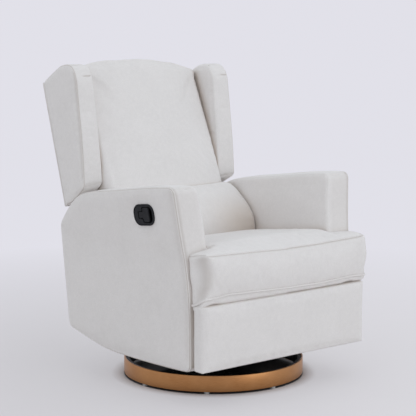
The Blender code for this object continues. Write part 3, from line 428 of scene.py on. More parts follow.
class Shell:
    """A closed mesh over the filled cells of a lattice, with its points placed in space."""

    def __init__(self, name, lines, place, filled=None):
        self.name = name
        lines = [np.asarray(line, float) for line in lines]
        middles = np.meshgrid(*[(line[1:] + line[:-1]) / 2 for line in lines], indexing="ij")
        cells = filled(*middles) if filled else np.ones(middles[0].shape, bool)
        edged = np.pad(cells, 1).astype(int)
        quads = []
        for axis in range(3):
            inside = [slice(1, -1)] * 3
            inside[axis] = slice(None)
            change = np.diff(edged, axis=axis)[tuple(inside)]
            second = np.eye(3, dtype=int)[(axis + 1) % 3]
            third = np.eye(3, dtype=int)[(axis + 2) % 3]
            for sign in (-1, 1):
                at = np.argwhere(change == sign)
                quad = np.stack([at, at + second, at + second + third, at + third], axis=1)
                quads.append(quad[:, ::sign * -1])
        quads = np.concatenate(quads)
        nodes, faces = np.unique(quads.reshape(-1, 3), axis=0, return_inverse=True)
        self.faces = faces.reshape(-1, 4)
        self.number = {tuple(node): n for n, node in enumerate(nodes.tolist())}
        self.ends = [len(line) - 1 for line in lines]
        self.shares = np.stack([lines[a][nodes[:, a]] for a in range(3)], axis=1)
        self.nodes = nodes
        self.points = np.asarray(place(self.shares), float)
        if self.volume() < 0:
            self.faces = self.faces[:, ::-1]
        # The seams' own darkening and shade painted on folds, tucks, hollows and bands, from 0 to
        # 1
        self.seam = np.zeros(len(nodes))
        self.pinned = np.zeros(len(nodes), bool)
        self.make()

    def volume(self):
        a, b, c, d = (self.points[self.faces[:, n]] for n in range(4))
        return ((np.cross(b, c) + np.cross(c, d)) * a).sum() / 6

    def make(self):
        mesh = bpy.data.meshes.new(self.name)
        mesh.from_pydata(self.points.tolist(), [], self.faces.tolist())
        mesh.update()
        mesh.shade_smooth()
        mesh.materials.append(finishes["fabric"])
        self.piece = in_scene(self.name, mesh)

    def ring(self, axis, level, corners=None):
        """Point numbers along lattice lines through corners, at one level of an axis."""
        first, second = [a for a in range(3) if a != axis]
        if corners is None:
            n, m = self.ends[first], self.ends[second]
            corners = [(0, 0), (n, 0), (n, m), (0, m)]
        if level < 0:
            level += self.ends[axis] + 1
        numbers = []
        for (i, j), (p, q) in zip(corners, corners[1:] + corners[:1]):
            steps = max(abs(p - i), abs(q - j))
            for step in range(steps):
                key = [0, 0, 0]
                key[axis] = level
                key[first] = i + (p - i) * step // steps
                key[second] = j + (q - j) * step // steps
                numbers.append(self.number[tuple(key)])
        return np.array(numbers)

    def normals(self):
        a, b, c, d = (self.points[self.faces[:, n]] for n in range(4))
        face = np.cross(c - a, d - b)
        normal = np.zeros_like(self.points)
        for corner in range(4):
            np.add.at(normal, self.faces[:, corner], face)
        return normal / np.maximum(np.linalg.norm(normal, axis=1), 1e-12)[:, None]

    def pin(self, *groups):
        """Holds points still while the cloth swells."""
        for numbers in groups:
            self.pinned[numbers] = True

    def shade(self, amount):
        """Paints shade into the cloth, by an amount from 0 to 1 for each point, on top of the
        seams' dark lines.
        """
        self.seam = np.maximum(self.seam, amount)

    def roughen(self, depth, scale, seed, normals=None):
        """Lays soft, uneven waves over the cloth."""
        normals = self.normals() if normals is None else normals
        self.points += normals * depth * ripple(self.points, scale, seed)[:, None]


def close_lines(radius, count=3):
    """Distances from an edge of lines that lie evenly round its rounding."""
    return radius * (1 - np.tan(math.pi / 4 * (1 - np.arange(count + 1) / count)))


def stations(length, step, edge=0.0, corner=0.0, edge_lines=3, corner_step=0.0055):
    """Shares along a length: close lines in the rounded edges, then even steps."""
    near = list(close_lines(edge, edge_lines)) if edge else [0.0]
    if corner > edge:
        count = max(1, round((corner - edge) / corner_step))
        near += [edge + (corner - edge) * (n + 1) / count for n in range(count)]
    inner = length - 2 * near[-1]
    count = max(2, round(inner / step))
    middle = [near[-1] + inner * n / count for n in range(1, count)]
    far = [length - place for place in reversed(near)]
    return np.array(near + middle + far) / length


def rounded(shares, sizes, radius):
    """Shares moved so that the edges of a box with these sizes are round."""
    sizes = np.asarray(sizes, float)
    places = shares * sizes
    radius = np.broadcast_to(np.asarray(radius, float), places.shape)
    inside = np.clip(places, radius, sizes - radius)
    outward = (places - inside) / radius
    reach = np.linalg.norm(outward, axis=1)
    scale = 1 / np.maximum(reach, 1)
    return (inside + outward * radius * scale[:, None]) / sizes


def bent_corners(shares, sizes, radius, axes):
    """Shares moved so that the box's outline, seen along the third axis, has round corners."""
    sizes = np.asarray(sizes, float)[list(axes)]
    places = shares[:, axes] * sizes
    inside = np.clip(places, radius, sizes - radius)
    outward = places - inside
    widest = np.abs(outward).max(axis=1)
    reach = np.linalg.norm(outward, axis=1)
    scale = widest / np.maximum(reach, 1e-9)
    result = shares.copy()
    result[:, axes] = (inside + outward * scale[:, None]) / sizes
    return result


# Cloth: the shells puff between their pinned seams

shrink_held = 0.75
cloth_frames = 20
cloth_settings = {
    "quality": 5, "mass": 0.3, "tension_stiffness": 15, "compression_stiffness": 15,
    "shear_stiffness": 5, "bending_stiffness": 0.5, "use_pressure": True,
    "vertex_group_mass": "pinned", "pin_stiffness": 1,
}
simulated = []


def puff(shell, pressure, cap, grow=0.0):
    """Queues a shell for the cloth simulation."""
    simulated.append((shell, pressure, cap, grow))


def simulate():
    """Runs every queued shell through one short simulation and keeps the result."""
    scene = bpy.context.scene
    for shell, pressure, _, grow in simulated:
        piece = shell.piece
        group = piece.vertex_groups.new(name="pinned")
        group.add([int(n) for n in np.flatnonzero(shell.pinned)], 1.0, "REPLACE")
        cloth = piece.modifiers.new("cloth", "CLOTH")
        for key, value in cloth_settings.items():
            setattr(cloth.settings, key, value)
        cloth.settings.uniform_pressure_force = pressure
        cloth.settings.shrink_min = -grow
        cloth.settings.effector_weights.gravity = 0
        cloth.collision_settings.use_collision = False
        cloth.collision_settings.use_self_collision = False
        cloth.point_cache.frame_start = 1
        cloth.point_cache.frame_end = cloth_frames
    for step in range(1, cloth_frames + 1):
        scene.frame_set(step)
    view = bpy.context.evaluated_depsgraph_get()
    for shell, _, cap, _ in simulated:
        swollen = shell.piece.evaluated_get(view)
        mesh = swollen.to_mesh()
        moved = np.empty(len(mesh.vertices) * 3)
        mesh.vertices.foreach_get("co", moved)
        swollen.to_mesh_clear()
        shift = moved.reshape(-1, 3) - shell.points
        normals = shell.normals()
        inward = np.minimum((shift * normals).sum(axis=1), 0)
        shift -= normals * (inward * shrink_held)[:, None]
        reach = np.linalg.norm(shift, axis=1)
        held = cap * np.tanh(reach / cap) / np.maximum(reach, 1e-9)
        shell.points = shell.points + shift * held[:, None]
        shell.piece.modifiers.clear()
        shell.piece.vertex_groups.clear()
    scene.frame_set(1)


def smooth_shade(shell, passes=2):
    """Spreads the seams' darkening and the painted shade a little into the cloth beside it."""
    shade = shell.seam.copy()
    pairs = np.concatenate([shell.faces[:, [n, (n + 1) % 4]] for n in range(4)])
    for _ in range(passes):
        total, count = np.zeros_like(shade), np.zeros_like(shade)
        np.add.at(total, pairs[:, 0], shade[pairs[:, 1]])
        np.add.at(count, pairs[:, 0], 1)
        shade = np.maximum(shade, 0.45 * total / np.maximum(count, 1))
    return shade


def settle(shell, levels=1):
    """Writes a shell's points, its seam darkening with painted shade, and its painted crease shade
    into its mesh, and smooths it once.
    """
    mesh = shell.piece.data
    mesh.vertices.foreach_set("co", shell.points.ravel())
    shade = mesh.attributes.new("seam", "FLOAT", "POINT")
    shade.data.foreach_set("value", np.clip(smooth_shade(shell), 0, 1).astype(np.float32))
    # Amount of shade painted into the creases
    closed = getattr(shell, "closed_in", np.zeros(len(shell.points)))
    painted_crease_shade = mesh.attributes.new("painted_crease_shade", "FLOAT", "POINT")
    painted_crease_shade.data.foreach_set("value", closed.astype(np.float32))
    mesh.update()
    finer = shell.piece.modifiers.new("finer", "SUBSURF")
    finer.levels = levels
    finer.render_levels = levels


# Rays that measure how closed in the cloth is, for the shade painted into its creases
crevice_rays = 26
crevice_reach = 0.090


def find_painted_shade(shells):
    """Notes on each shell how closed in every point lies among all the shells, from 0 to 1, as the
    amount of shade to paint into its creases.
    """
    corners, faces = [], []
    for shell in shells:
        first = sum(len(group) for group in corners)
        corners.append(shell.points)
        for face in shell.piece.data.polygons:
            faces.append([first + number for number in face.vertices])
    tree = BVHTree.FromPolygons(np.concatenate(corners).tolist(), faces)
    turn = np.arange(crevice_rays) * math.pi * (3 - math.sqrt(5))
    level = 1 - (2 * np.arange(crevice_rays) + 1) / crevice_rays
    flat = np.sqrt(1 - level**2)
    rays = np.stack([flat * np.cos(turn), flat * np.sin(turn), level], axis=1)
    for shell in shells:
        normals = shell.normals()
        facing = np.clip(normals @ rays.T, 0, 1)
        closed = np.zeros(len(shell.points))
        for number, (point, normal) in enumerate(zip(shell.points, normals)):
            start = Vector(point + normal * 0.002)
            for ray in np.flatnonzero(facing[number] > 0.15):
                distance = tree.ray_cast(start, Vector(rays[ray]), crevice_reach)[3]
                if distance is not None:
                    closed[number] += facing[number, ray] * (1 - distance / crevice_reach)
        closed /= facing.sum(axis=1)
        edges = np.array([edge.vertices for edge in shell.piece.data.edges])
        count = np.bincount(edges.ravel(), minlength=len(closed))
        for _ in range(2):
            beside = np.bincount(edges[:, 0], closed[edges[:, 1]], len(closed))
            beside += np.bincount(edges[:, 1], closed[edges[:, 0]], len(closed))
            closed = (closed + beside / count) / 2
        shell.closed_in = smoothstep(closed, 0.14, 0.72)


def apply_modifiers(piece):
    view = bpy.context.evaluated_depsgraph_get()
    mesh = bpy.data.meshes.new_from_object(piece.evaluated_get(view))
    piece.modifiers.clear()
    old = piece.data
    piece.data = mesh
    bpy.data.meshes.remove(old)
    mesh.name = piece.name


def linked(name, mesh, material):
    mesh.materials.clear()
    mesh.materials.append(finishes[material])
    return in_scene(name, mesh)


def curve_mesh(name, lines, flat, **values):
    """The mesh of closed lines, drawn as round cords or, when flat, as a filled plate."""
    curve = bpy.data.curves.new(name, "CURVE")
    curve.dimensions = "2D" if flat else "3D"
    curve.bevel_resolution = 2
    for key, value in values.items():
        setattr(curve, key, value)
    for line in lines:
        spline = curve.splines.new("POLY")
        spline.points.add(len(line) - 1)
        for point, place in zip(spline.points, line):
            point.co = (*place, 0, 1) if flat else (*place, 1)
        spline.use_cyclic_u = True
    holder = in_scene(name, curve)
    mesh = bpy.data.meshes.new_from_object(holder)
    bpy.data.objects.remove(holder, do_unlink=True)
    bpy.data.curves.remove(curve)
    mesh.name = name
    return mesh


def cord_on(shell, name, numbers, radius, lift, body):
    """Piping along a closed row of a shell's points, lifted out of the cloth."""
    points = shell.points[numbers] + shell.normals()[numbers] * lift
    for _ in range(2):
        points = (np.roll(points, 1, 0) + 2 * points + np.roll(points, -1, 0)) / 4
    mesh = curve_mesh(name, [points], False, bevel_depth=radius, use_fill_caps=True)
    mesh.shade_smooth()
    cord = linked(name, mesh, "piping")
    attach(cord, body)


def soft_piece(shell, body, *nodes, fill=0.8):
    piece = shell.piece
    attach(piece, body)
    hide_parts(*nodes)


def lines_for(sizes, step, edge):
    return [stations(size, step, min(edge, size / 2.5)) for size in sizes]


def lines_across(width, radii, count):
    """Shares across a panel: close lines in its two rounded edges and even steps between."""
    inner, outer = close_lines(radii[0], 4), close_lines(radii[1], 3)
    middle = np.linspace(inner[-1], width - outer[-1], count)[1:-1]
    return np.concatenate([inner, middle, width - outer[::-1]]) / width


# Arms

well_half_width = round(abs(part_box("arm_left")[0][0]), 4)
arm_width = 0.097
arm_lines_step = 0.0105
arm_corner = 0.020
arm_swell = 0.0045
arm_seam_depth = 0.0012
arm_inner_from = 0.500
arm_radii = (0.015, 0.0075)
arm_ripple = 0.0007
# Darkness of the seam lines, and of painted shade: a band beside the front seam and the whole
# front face
arm_seam_and_painted_shades = {"outer": 0.75, "inset": 0.45, "inner": 0.12, "front": 0.16, "face": 0.11}
arm_painted_shade_share = 0.75
cup_reach = (0.060, 0.045)
cup_flat_share = 1.9


def soft_ramp(value, blend=0.08):
    """The value where it is above 0, and 0 below, with a soft bend between."""
    return (value + np.sqrt(value * value + blend * blend)) / 2


def arm_faces(z):
    """Distances from the chair's middle to an arm's inner and outer face at a height."""
    rise = soft_ramp((z - arm_flare_from) / (arm_flare_to - arm_flare_from))
    rise = rise * (1 - arm_flare_ease * rise)
    inner_rise = np.maximum((z - arm_inner_from) / (arm_flare_to - arm_inner_from), 0)
    inner = well_half_width - arm_inner_room + arm_inner_flare * inner_rise**arm_inner_bend
    outer = well_half_width + arm_width + arm_outer_flare * rise
    return inner, outer


def make_arm(side, sign):
    low, high = (np.array(corner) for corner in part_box(f"arm_{side}"))
    sizes = np.array([arm_width, high[1] - low[1], high[2] - low[2]])

    def place(shares):
        radius = np.where(shares[:, :1] < 0.5, *arm_radii)
        shares = rounded(shares, sizes, radius)
        shares = bent_corners(shares, sizes, arm_corner, [1, 2])
        flat = patch_at(
            arm_bottom_shares, arm_top_shares, arm_front_shares, arm_rear_shares,
            shares[:, 1], shares[:, 2],
        )
        y = arm_front + flat[:, 0] * arm_depth
        z = arm_low + flat[:, 1] * arm_height
        inner, outer = arm_faces(z)
        x = inner + (outer - inner) * shares[:, 0]
        return np.stack([sign * x, y, z], axis=1)

    lines = [lines_across(arm_width, arm_radii, 8)]
    lines += [stations(size, arm_lines_step, arm_radii[1], arm_corner) for size in sizes[1:]]
    shell = Shell(f"arm_{side}_cover", lines, place)
    outer_ring, inner_ring = shell.ring(0, -1), shell.ring(0, 0)
    shell.pin(outer_ring, inner_ring)
    shell.rings = (outer_ring, inner_ring)
    puff(shell, pressure=2.5, cap=arm_swell)
    return shell


def finish_arm(shell, side, sign):
    points = shell.points
    normals = shell.normals()
    outer_ring, inner_ring = shell.rings
    shell.roughen(arm_ripple, 9, 3 + sign, normals)
    if sign < 0:
        local = (np.linalg.inv(release_matrix) @ np.c_[points, np.ones(len(points))].T).T[:, :3]
        spread = np.linalg.norm(local[:, 1:] / cup_reach, axis=1)
        most = 0.0002 + 0.004 * smoothstep(spread, 1.0, cup_flat_share)
        near = (local[:, 0] > -0.015) & (spread < cup_flat_share)
        excess = np.where(near, np.maximum(local[:, 0] - most, 0), 0)
        points -= np.array(release_matrix)[:3, 0] * excess[:, None]
    points[outer_ring] -= normals[outer_ring] * arm_seam_depth
    shell.seam[outer_ring] = arm_seam_and_painted_shades["outer"]
    across = np.unique(shell.shares[:, 0])
    inset_ring = shell.ring(0, len(across) - 4)
    points[inset_ring] -= normals[inset_ring] * arm_seam_depth * 0.6
    shell.seam[inset_ring] = arm_seam_and_painted_shades["inset"]
    shell.seam[inner_ring] = arm_seam_and_painted_shades["inner"]
    across, deep, rise = shell.shares.T
    # Painted shade: a band on the outer face beside the front seam, and the front face darkened as
    # if less lit
    band = (across > 0.999) * hump(deep, 0.016, 0.014) * smoothstep(rise, 0.03, 0.10)
    face = falling(deep, 0.012, 0.040) * smoothstep(rise, 0.35, 0.60)
    face *= smoothstep(across, 0.06, 0.24)
    shell.shade(arm_seam_and_painted_shades["front"] * band)
    shell.shade(arm_seam_and_painted_shades["face"] * face)
    # Less painted crease shade on the arms
    shell.closed_in *= arm_painted_shade_share
    settle(shell)
    apply_modifiers(shell.piece)
    soft_piece(shell, "chair", f"arm_{side}", fill=0.9)


# Release handle, in the leaning face of the right arm

release_y = -0.178
release_z = 0.5755
release_tilt = math.radians(6.6)
bezel_length = 0.100
bezel_height = 0.068
bezel_corner = 0.029
bezel_face = 0.0047
bezel_rim_width = 0.0036
bezel_groove = 0.0020
bezel_proud = 0.0010
cup_depth = 0.022
cup_wall_sunk = 0.0012
cup_margin = 0.0062
finger_gap = 0.019
crossbar_length = 0.0460
crossbar_width = 0.0290
stem_length = 0.0210
stem_width = 0.0200
slot_width = 0.0022
collar_radius = 0.0030
collar_steps = 24
plate_thickness = 0.0030
paddle_thickness = 0.0062
paddle_sunk = 0.0012
hole_front = bezel_length / 2 - cup_margin - 0.0008
paddle_front = hole_front - finger_gap
hole_radii = [0.017, 0.017, 0.006, 0.003, 0.004, 0.004, 0.006, 0.009]
paddle_radii = [0.004, 0.004, 0.005, 0.003, 0.003, 0.003, 0.007, 0.009]


def release_frame():
    """From (outwards, forwards from the middle, up) to the arm's leaning face."""
    lean = math.atan(arm_outer_flare / (arm_flare_to - arm_flare_from))
    outwards = Vector((-math.cos(lean), 0, -math.sin(lean)))
    up = Vector((-math.sin(lean), 0, math.cos(lean)))
    turn = Matrix((outwards, Vector((0, -1, 0)), up)).transposed().to_4x4()
    rise = (release_z - arm_flare_from) / (arm_flare_to - arm_flare_from)
    face = well_half_width + arm_width + arm_outer_flare * rise
    tilt = Matrix.Rotation(release_tilt, 4, "X")
    return Matrix.Translation((-face, release_y, release_z)) @ turn @ tilt


release_matrix = np.array(release_frame())


def round_outline(corners, radii, steps=7):
    """A closed outline through corners, each rounded by its own radius."""
    corners = [Vector(corner) for corner in corners]
    radii = [radii] * len(corners) if isinstance(radii, float) else radii
    points = []
    for n, (here, radius) in enumerate(zip(corners, radii)):
        before, after = corners[n - 1] - here, corners[(n + 1) % len(corners)] - here
        half = before.angle(after) / 2
        reach = min(radius / math.tan(half), 0.499 * min(before.length, after.length))
        before, after = before.normalized(), after.normalized()
        middle = here + (before + after).normalized() * (reach / math.cos(half))
        first, last = here + before * reach - middle, here + after * reach - middle
        turn = first.angle_signed(last)
        for step in range(steps + 1):
            points.append(tuple(middle + Matrix.Rotation(-turn * step / steps, 2) @ first))
    return points


def rounded_box_outline(length, height, radius, steps=12):
    x, y = length / 2, height / 2
    return round_outline([(x, -y), (x, y), (-x, y), (-x, -y)], radius, steps)


def flat_panel(name, outlines, thickness, bevel, low, matrix):
    """A plate with bevelled edges: the first outline is outside and the rest are holes."""
    mesh = curve_mesh(
        name, outlines, True, fill_mode="BOTH", extrude=thickness / 2 - bevel,
        bevel_depth=bevel, offset=-bevel,
    )
    swap = Matrix(((0, 0, 1, 0), (1, 0, 0, 0), (0, 1, 0, 0), (0, 0, 0, 1)))
    mesh.transform(Matrix.Translation((low + thickness / 2, 0, 0)) @ swap)
    mesh.transform(matrix)
    return mesh


def loft(name, rings, closed=True, cap_end=False):
    """A mesh through rings with the same number of points."""
    rings = [list(map(tuple, ring)) for ring in rings]
    count = len(rings[0])
    points = [point for ring in rings for point in ring]
    faces = []
    turns = len(rings) if closed else len(rings) - 1
    for r in range(turns):
        a, b = r * count, (r + 1) % len(rings) * count
        for n in range(count):
            m = (n + 1) % count
            faces.append((a + n, a + m, b + m, b + n))
    if cap_end:
        faces.append([len(points) - count + n for n in range(count)])
    mesh = bpy.data.meshes.new(name)
    mesh.from_pydata(points, [], faces)
    mesh.update()
    return mesh


def joined(name, meshes, material, smooth_angle=0.6):
    first = [linked(f"{name}_{n}" if n else name, mesh, material) for n, mesh in enumerate(meshes)]
    target = first[0]
    if len(first) > 1:
        with bpy.context.temp_override(
            active_object=target, object=target, selected_objects=first,
            selected_editable_objects=first,
        ):
            bpy.ops.object.join()
    target.data.shade_smooth()
    target.data.set_sharp_from_angle(angle=smooth_angle)
    return target


def bezel_outline(inset):
    return rounded_box_outline(
        bezel_length - 2 * inset, bezel_height - 2 * inset, bezel_corner - inset
    )


def tee_corners(front, gap):
    """Corners of the paddle's T, grown by a gap at its sides and its rear."""
    bar, stem = crossbar_length / 2 + gap, stem_width / 2 + gap
    rear = paddle_front - crossbar_width - gap
    end = rear - stem_length
    return [
        (front, -bar), (front, bar), (rear, bar), (rear, stem), (end, stem), (end, -stem),
        (rear, -stem), (rear, -bar),
    ]


def make_release():
    matrix = release_frame()

    def ring(inset, height):
        return [matrix @ Vector((height, *place)) for place in bezel_outline(inset)]

    rim_top, groove_low = bezel_face + bezel_proud, bezel_face - bezel_proud
    rim = loft("release_bezel_rim", [
        ring(0.0, -bezel_proud), ring(0.0, bezel_face - 0.0016), ring(0.0004, bezel_face - 0.0004),
        ring(0.0012, rim_top - 0.0002), ring(0.0020, rim_top),
        ring(bezel_rim_width - 0.0006, rim_top - 0.0001), ring(bezel_rim_width, rim_top - 0.0008),
        ring(bezel_rim_width + 0.0002, groove_low),
        ring(bezel_rim_width + bezel_groove, groove_low),
        ring(bezel_rim_width + bezel_groove + 0.0004, -bezel_proud),
    ])
    hole = round_outline(tee_corners(hole_front, slot_width), hole_radii, 7)
    plate_outline = bezel_outline(bezel_rim_width + bezel_groove)
    plate = flat_panel(
        "release_bezel_plate", [plate_outline, hole], plate_thickness, 0.0006,
        bezel_face - plate_thickness, matrix,
    )
    walls = [
        [matrix @ Vector((bezel_face - depth, *place)) for place in hole]
        for depth in (cup_wall_sunk, cup_depth)
    ]
    walls = loft("release_bezel_cup", walls, closed=False, cap_end=True)
    bezel = joined("release_bezel_shell", [rim, plate, walls], "black_plastic")
    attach(bezel, "chair")
    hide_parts("release_bezel")

    outline = round_outline(tee_corners(paddle_front, 0), paddle_radii, 6)
    paddle_mesh = flat_panel(
        "release_paddle_face", [outline], paddle_thickness, 0.0012,
        bezel_face - paddle_sunk - paddle_thickness, matrix,
    )
    pin = matrix.inverted() @ Vector([sum(ends) / 2 for ends in zip(*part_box("paddle_pin"))])
    low, high = stem_width / 2 - 0.0010, stem_width / 2 + slot_width - 0.0003
    collars = []
    for way in (-1, 1):
        rings = []
        for radius, height in (
            (0, low), (collar_radius, low), (collar_radius, high - 0.0004),
            (collar_radius - 0.0004, high), (0, high),
        ):
            spots = circle(pin, radius, way * height, collar_steps, way)
            rings.append([matrix @ Vector(spot) for spot in spots])
        collars.append(loft(f"release_paddle_collar_{way}", rings[::-1], closed=False))
    paddle = joined("release_paddle_grip", [paddle_mesh, *collars], "black_plastic")
    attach(paddle, "paddle")
    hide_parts("release_paddle")


def cut_cup(shell):
    """Opens the arm's cover where the handle's cup goes into it."""
    matrix = release_frame()
    mesh = flat_panel("cup_cutter", [bezel_outline(0.004)], 0.060, 0.0, -0.032, matrix)
    cutter = linked("cup_cutter", mesh, "black_plastic")
    cut = shell.piece.modifiers.new("cup", "BOOLEAN")
    cut.operation = "DIFFERENCE"
    cut.solver = "EXACT"
    cut.object = cutter
    apply_modifiers(shell.piece)
    bpy.data.objects.remove(cutter, do_unlink=True)


# Seat cushion, a T in plan

seat_low = float(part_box("seat_cushion")[0][2])
seat_tall = 0.150
seat_front = -0.4300
seat_rear = 0.1220
seat_body_half = 0.2600
seat_ear_half = 0.3475
ear_rear = -0.3785
ear_slope = 0.185
plan_radius = 0.012
front_radius = (0.022, 0.034)
plan_swell = (0.004, 0.010)
seat_top_radius = 0.0070
seat_under_radius = 0.0170
seat_seam_height = 0.0255
seat_lip_lift = -0.0020
seat_sag_x = (-0.345, -0.250, -0.120, 0.000, 0.140, 0.300, 0.345)
seat_sag_top = (0.0050, 0.0028, -0.0004, -0.0050, -0.0050, 0.0005, 0.0020)
seat_sag_welt = (-0.0040, 0.0045, 0.0005, -0.0030, -0.0045, 0.0000, -0.0070)
seat_side_x = (-0.3475, -0.340, -0.310, -0.270, -0.150, 0.000, 0.262, 0.302, 0.340, 0.3475)
seat_side_lift = (
    -0.0210, -0.0145, -0.0080, -0.0034, 0.0000, 0.0000, 0.0010, 0.0005, -0.0060, -0.0085,
)
seat_line_y = (-0.4300, -0.4130, -0.3810, -0.3460, -0.1200, 0.0000, 0.0950, 0.1220)
seat_line_z = (0.4655, 0.4720, 0.4810, 0.4845, 0.4600, 0.4430, 0.4330, 0.4310)
seat_crown = 0.0035
seat_bulge = 0.0075
seat_swell_right, seat_swell_left = 0.0040, 0.0190
seat_flare_left = 0.0180
seat_flare_low = 0.0050
seat_tuck = 0.0230
seat_tuck_y = (-0.405, -0.374)
seat_notch_fill = 0.0045
seat_lip_gap = 0.0045
seat_lip_gaps = ((0.281, 0.026), (-0.300, 0.018))
seat_hang = {"left": 0.0020, "right": 0.0200}
seat_hang_x = (0.308, 0.340)
seat_hang_round = (0.325, 0.362)
seat_sink = 0.0040
seat_droop = 0.0250
seat_droop_round = (0.335, 0.378)
seat_fold = 0.0020
seat_fold_x, seat_fold_y = -0.262, -0.352
seat_cheek = 0.0035
seat_creases = 0.0012
seat_side_wave = 0.0018
seat_ripple = 0.0008
seat_painted_shade_share = 0.5
# Darkness of the two seam lines, and of painted shade along a fold and round the near front corner
seat_seam_and_painted_shades = {"top": 0.70, "low": 0.55, "fold": 0.45, "hollow": 0.34}


def round_corner(x, y):
    """A distance that grows round the seat's front corner on the right, towards its side."""
    return -x + 0.6 * (y - seat_front)


def seat_rounded(spots):
    """Spots moved so that the T's corners are round in plan and its edges are round."""
    x, y, z = spots.T
    seam = seat_seam_height
    full = np.sin(np.pi * np.clip((z - seam) / (seat_tall - seam), 0, 1))
    ahead = falling(y, seat_front + 0.020, ear_rear - 0.004)
    far = (x > 0).astype(int)
    corner = np.array(front_radius)[far] + np.array(plan_swell)[far] * full**0.7
    radius = plan_radius + (corner - plan_radius) * ahead
    cores = []
    for half, rear in ((seat_ear_half, ear_rear), (seat_body_half, seat_rear)):
        front = seat_front + radius
        cores.append(np.stack([
            np.clip(x, radius - half, half - radius),
            np.clip(y, front, np.maximum(rear - plan_radius, front)),
        ], axis=1))
    ears_away, body_away = (np.linalg.norm(spots[:, :2] - core, axis=1) for core in cores)
    core = np.where((body_away < ears_away)[:, None], cores[1], cores[0])
    upright = np.where(z < seat_tall / 2, seat_under_radius, seat_top_radius)
    level = np.clip(z, upright, seat_tall - upright)
    out = np.c_[(spots[:, :2] - core) / radius[:, None], (z - level) / upright]
    out /= np.maximum(np.linalg.norm(out, axis=1), 1)[:, None]
    return np.c_[core + out[:, :2] * radius[:, None], level + out[:, 2] * upright]


def seat_place(spots):
    spots = seat_rounded(spots)
    x, y, height = spots.T
    rise = height / seat_tall
    top = np.interp(y, seat_line_y, seat_line_z) - seat_low
    front_edge = falling(y, seat_front + 0.010, seat_front + 0.050)
    top = top + front_edge * np.interp(x, seat_sag_x, seat_sag_top)
    settled = smoothstep(y, seat_front + 0.010, ear_rear + 0.012)
    settled *= 1 - 0.5 * smoothstep(y, -0.30, 0.0)
    top = top + settled * np.interp(x, seat_side_x, seat_side_lift)
    middle = 1 - np.clip(np.abs(x) / seat_body_half, 0, 1) ** 2.5
    crown = seat_crown * middle * smoothstep(y, seat_front - 0.005, seat_front + 0.06)
    crown *= 1 - 0.60 * smoothstep(y, 0.02, seat_rear)
    z = seat_low + rise * top + crown * rise**3
    front_side = falling(y, seat_front, seat_front + 0.045)
    seam = seat_seam_height / seat_tall
    swell = np.sin(np.pi * np.clip((rise - seam) / (1 - seam), 0, 1)) ** 0.8
    bulge = seat_bulge * swell * front_side
    bulge *= 0.55 + 0.45 * (1 - (np.abs(x) / seat_ear_half) ** 6)
    outwards = np.where(x > 0, seat_swell_left, seat_swell_right) * swell
    outwards += np.where(x > 0, seat_flare_left, 0)
    outwards += seat_flare_low * falling(rise, 0.5 * seam, 1.8 * seam)
    at_side = smoothstep(np.abs(x), 0.28, seat_ear_half)
    tucked = seat_tuck * falling(y, *seat_tuck_y) * (0.50 + 0.50 * swell)
    tucked *= smoothstep(rise, 0.5 * seam, seam + 0.12)
    side = np.sign(x) * (outwards - np.where(x < 0, tucked, 0)) * at_side
    at_welt = hump(rise, seam, 0.10) * front_side
    z = z + at_welt * np.interp(x, seat_sag_x, seat_sag_welt)
    fill = hump(np.abs(x), seat_body_half, 0.016) * hump(y, ear_rear, 0.016)
    fill = seat_notch_fill * fill * smoothstep(rise, 0.25, 0.6)
    lean = smoothstep(y, seat_front + 0.015, ear_rear) * falling(y, 0.0, 0.09)
    y = y - bulge + ear_slope * height * lean + fill
    low = falling(rise, 0.02, 0.17)
    under = low * falling(y, seat_front, seat_front + 0.07)
    gap = sum(hump(x, *place) for place in seat_lip_gaps)
    round_end = round_corner(x, y)
    hang = np.where(
        x > 0, seat_hang["left"] * smoothstep(x, *seat_hang_x),
        seat_hang["right"] * smoothstep(round_end, *seat_hang_round),
    )
    z = z + under * (seat_lip_lift + seat_lip_gap * gap) - hang * low
    droop = np.where(rise < seam, smoothstep(rise, 0.0, seam), hump(rise, seam, 0.12))
    z = z - seat_droop * droop * smoothstep(round_end, *seat_droop_round)
    return np.stack([x + side + np.sign(x) * fill, y, z], axis=1)


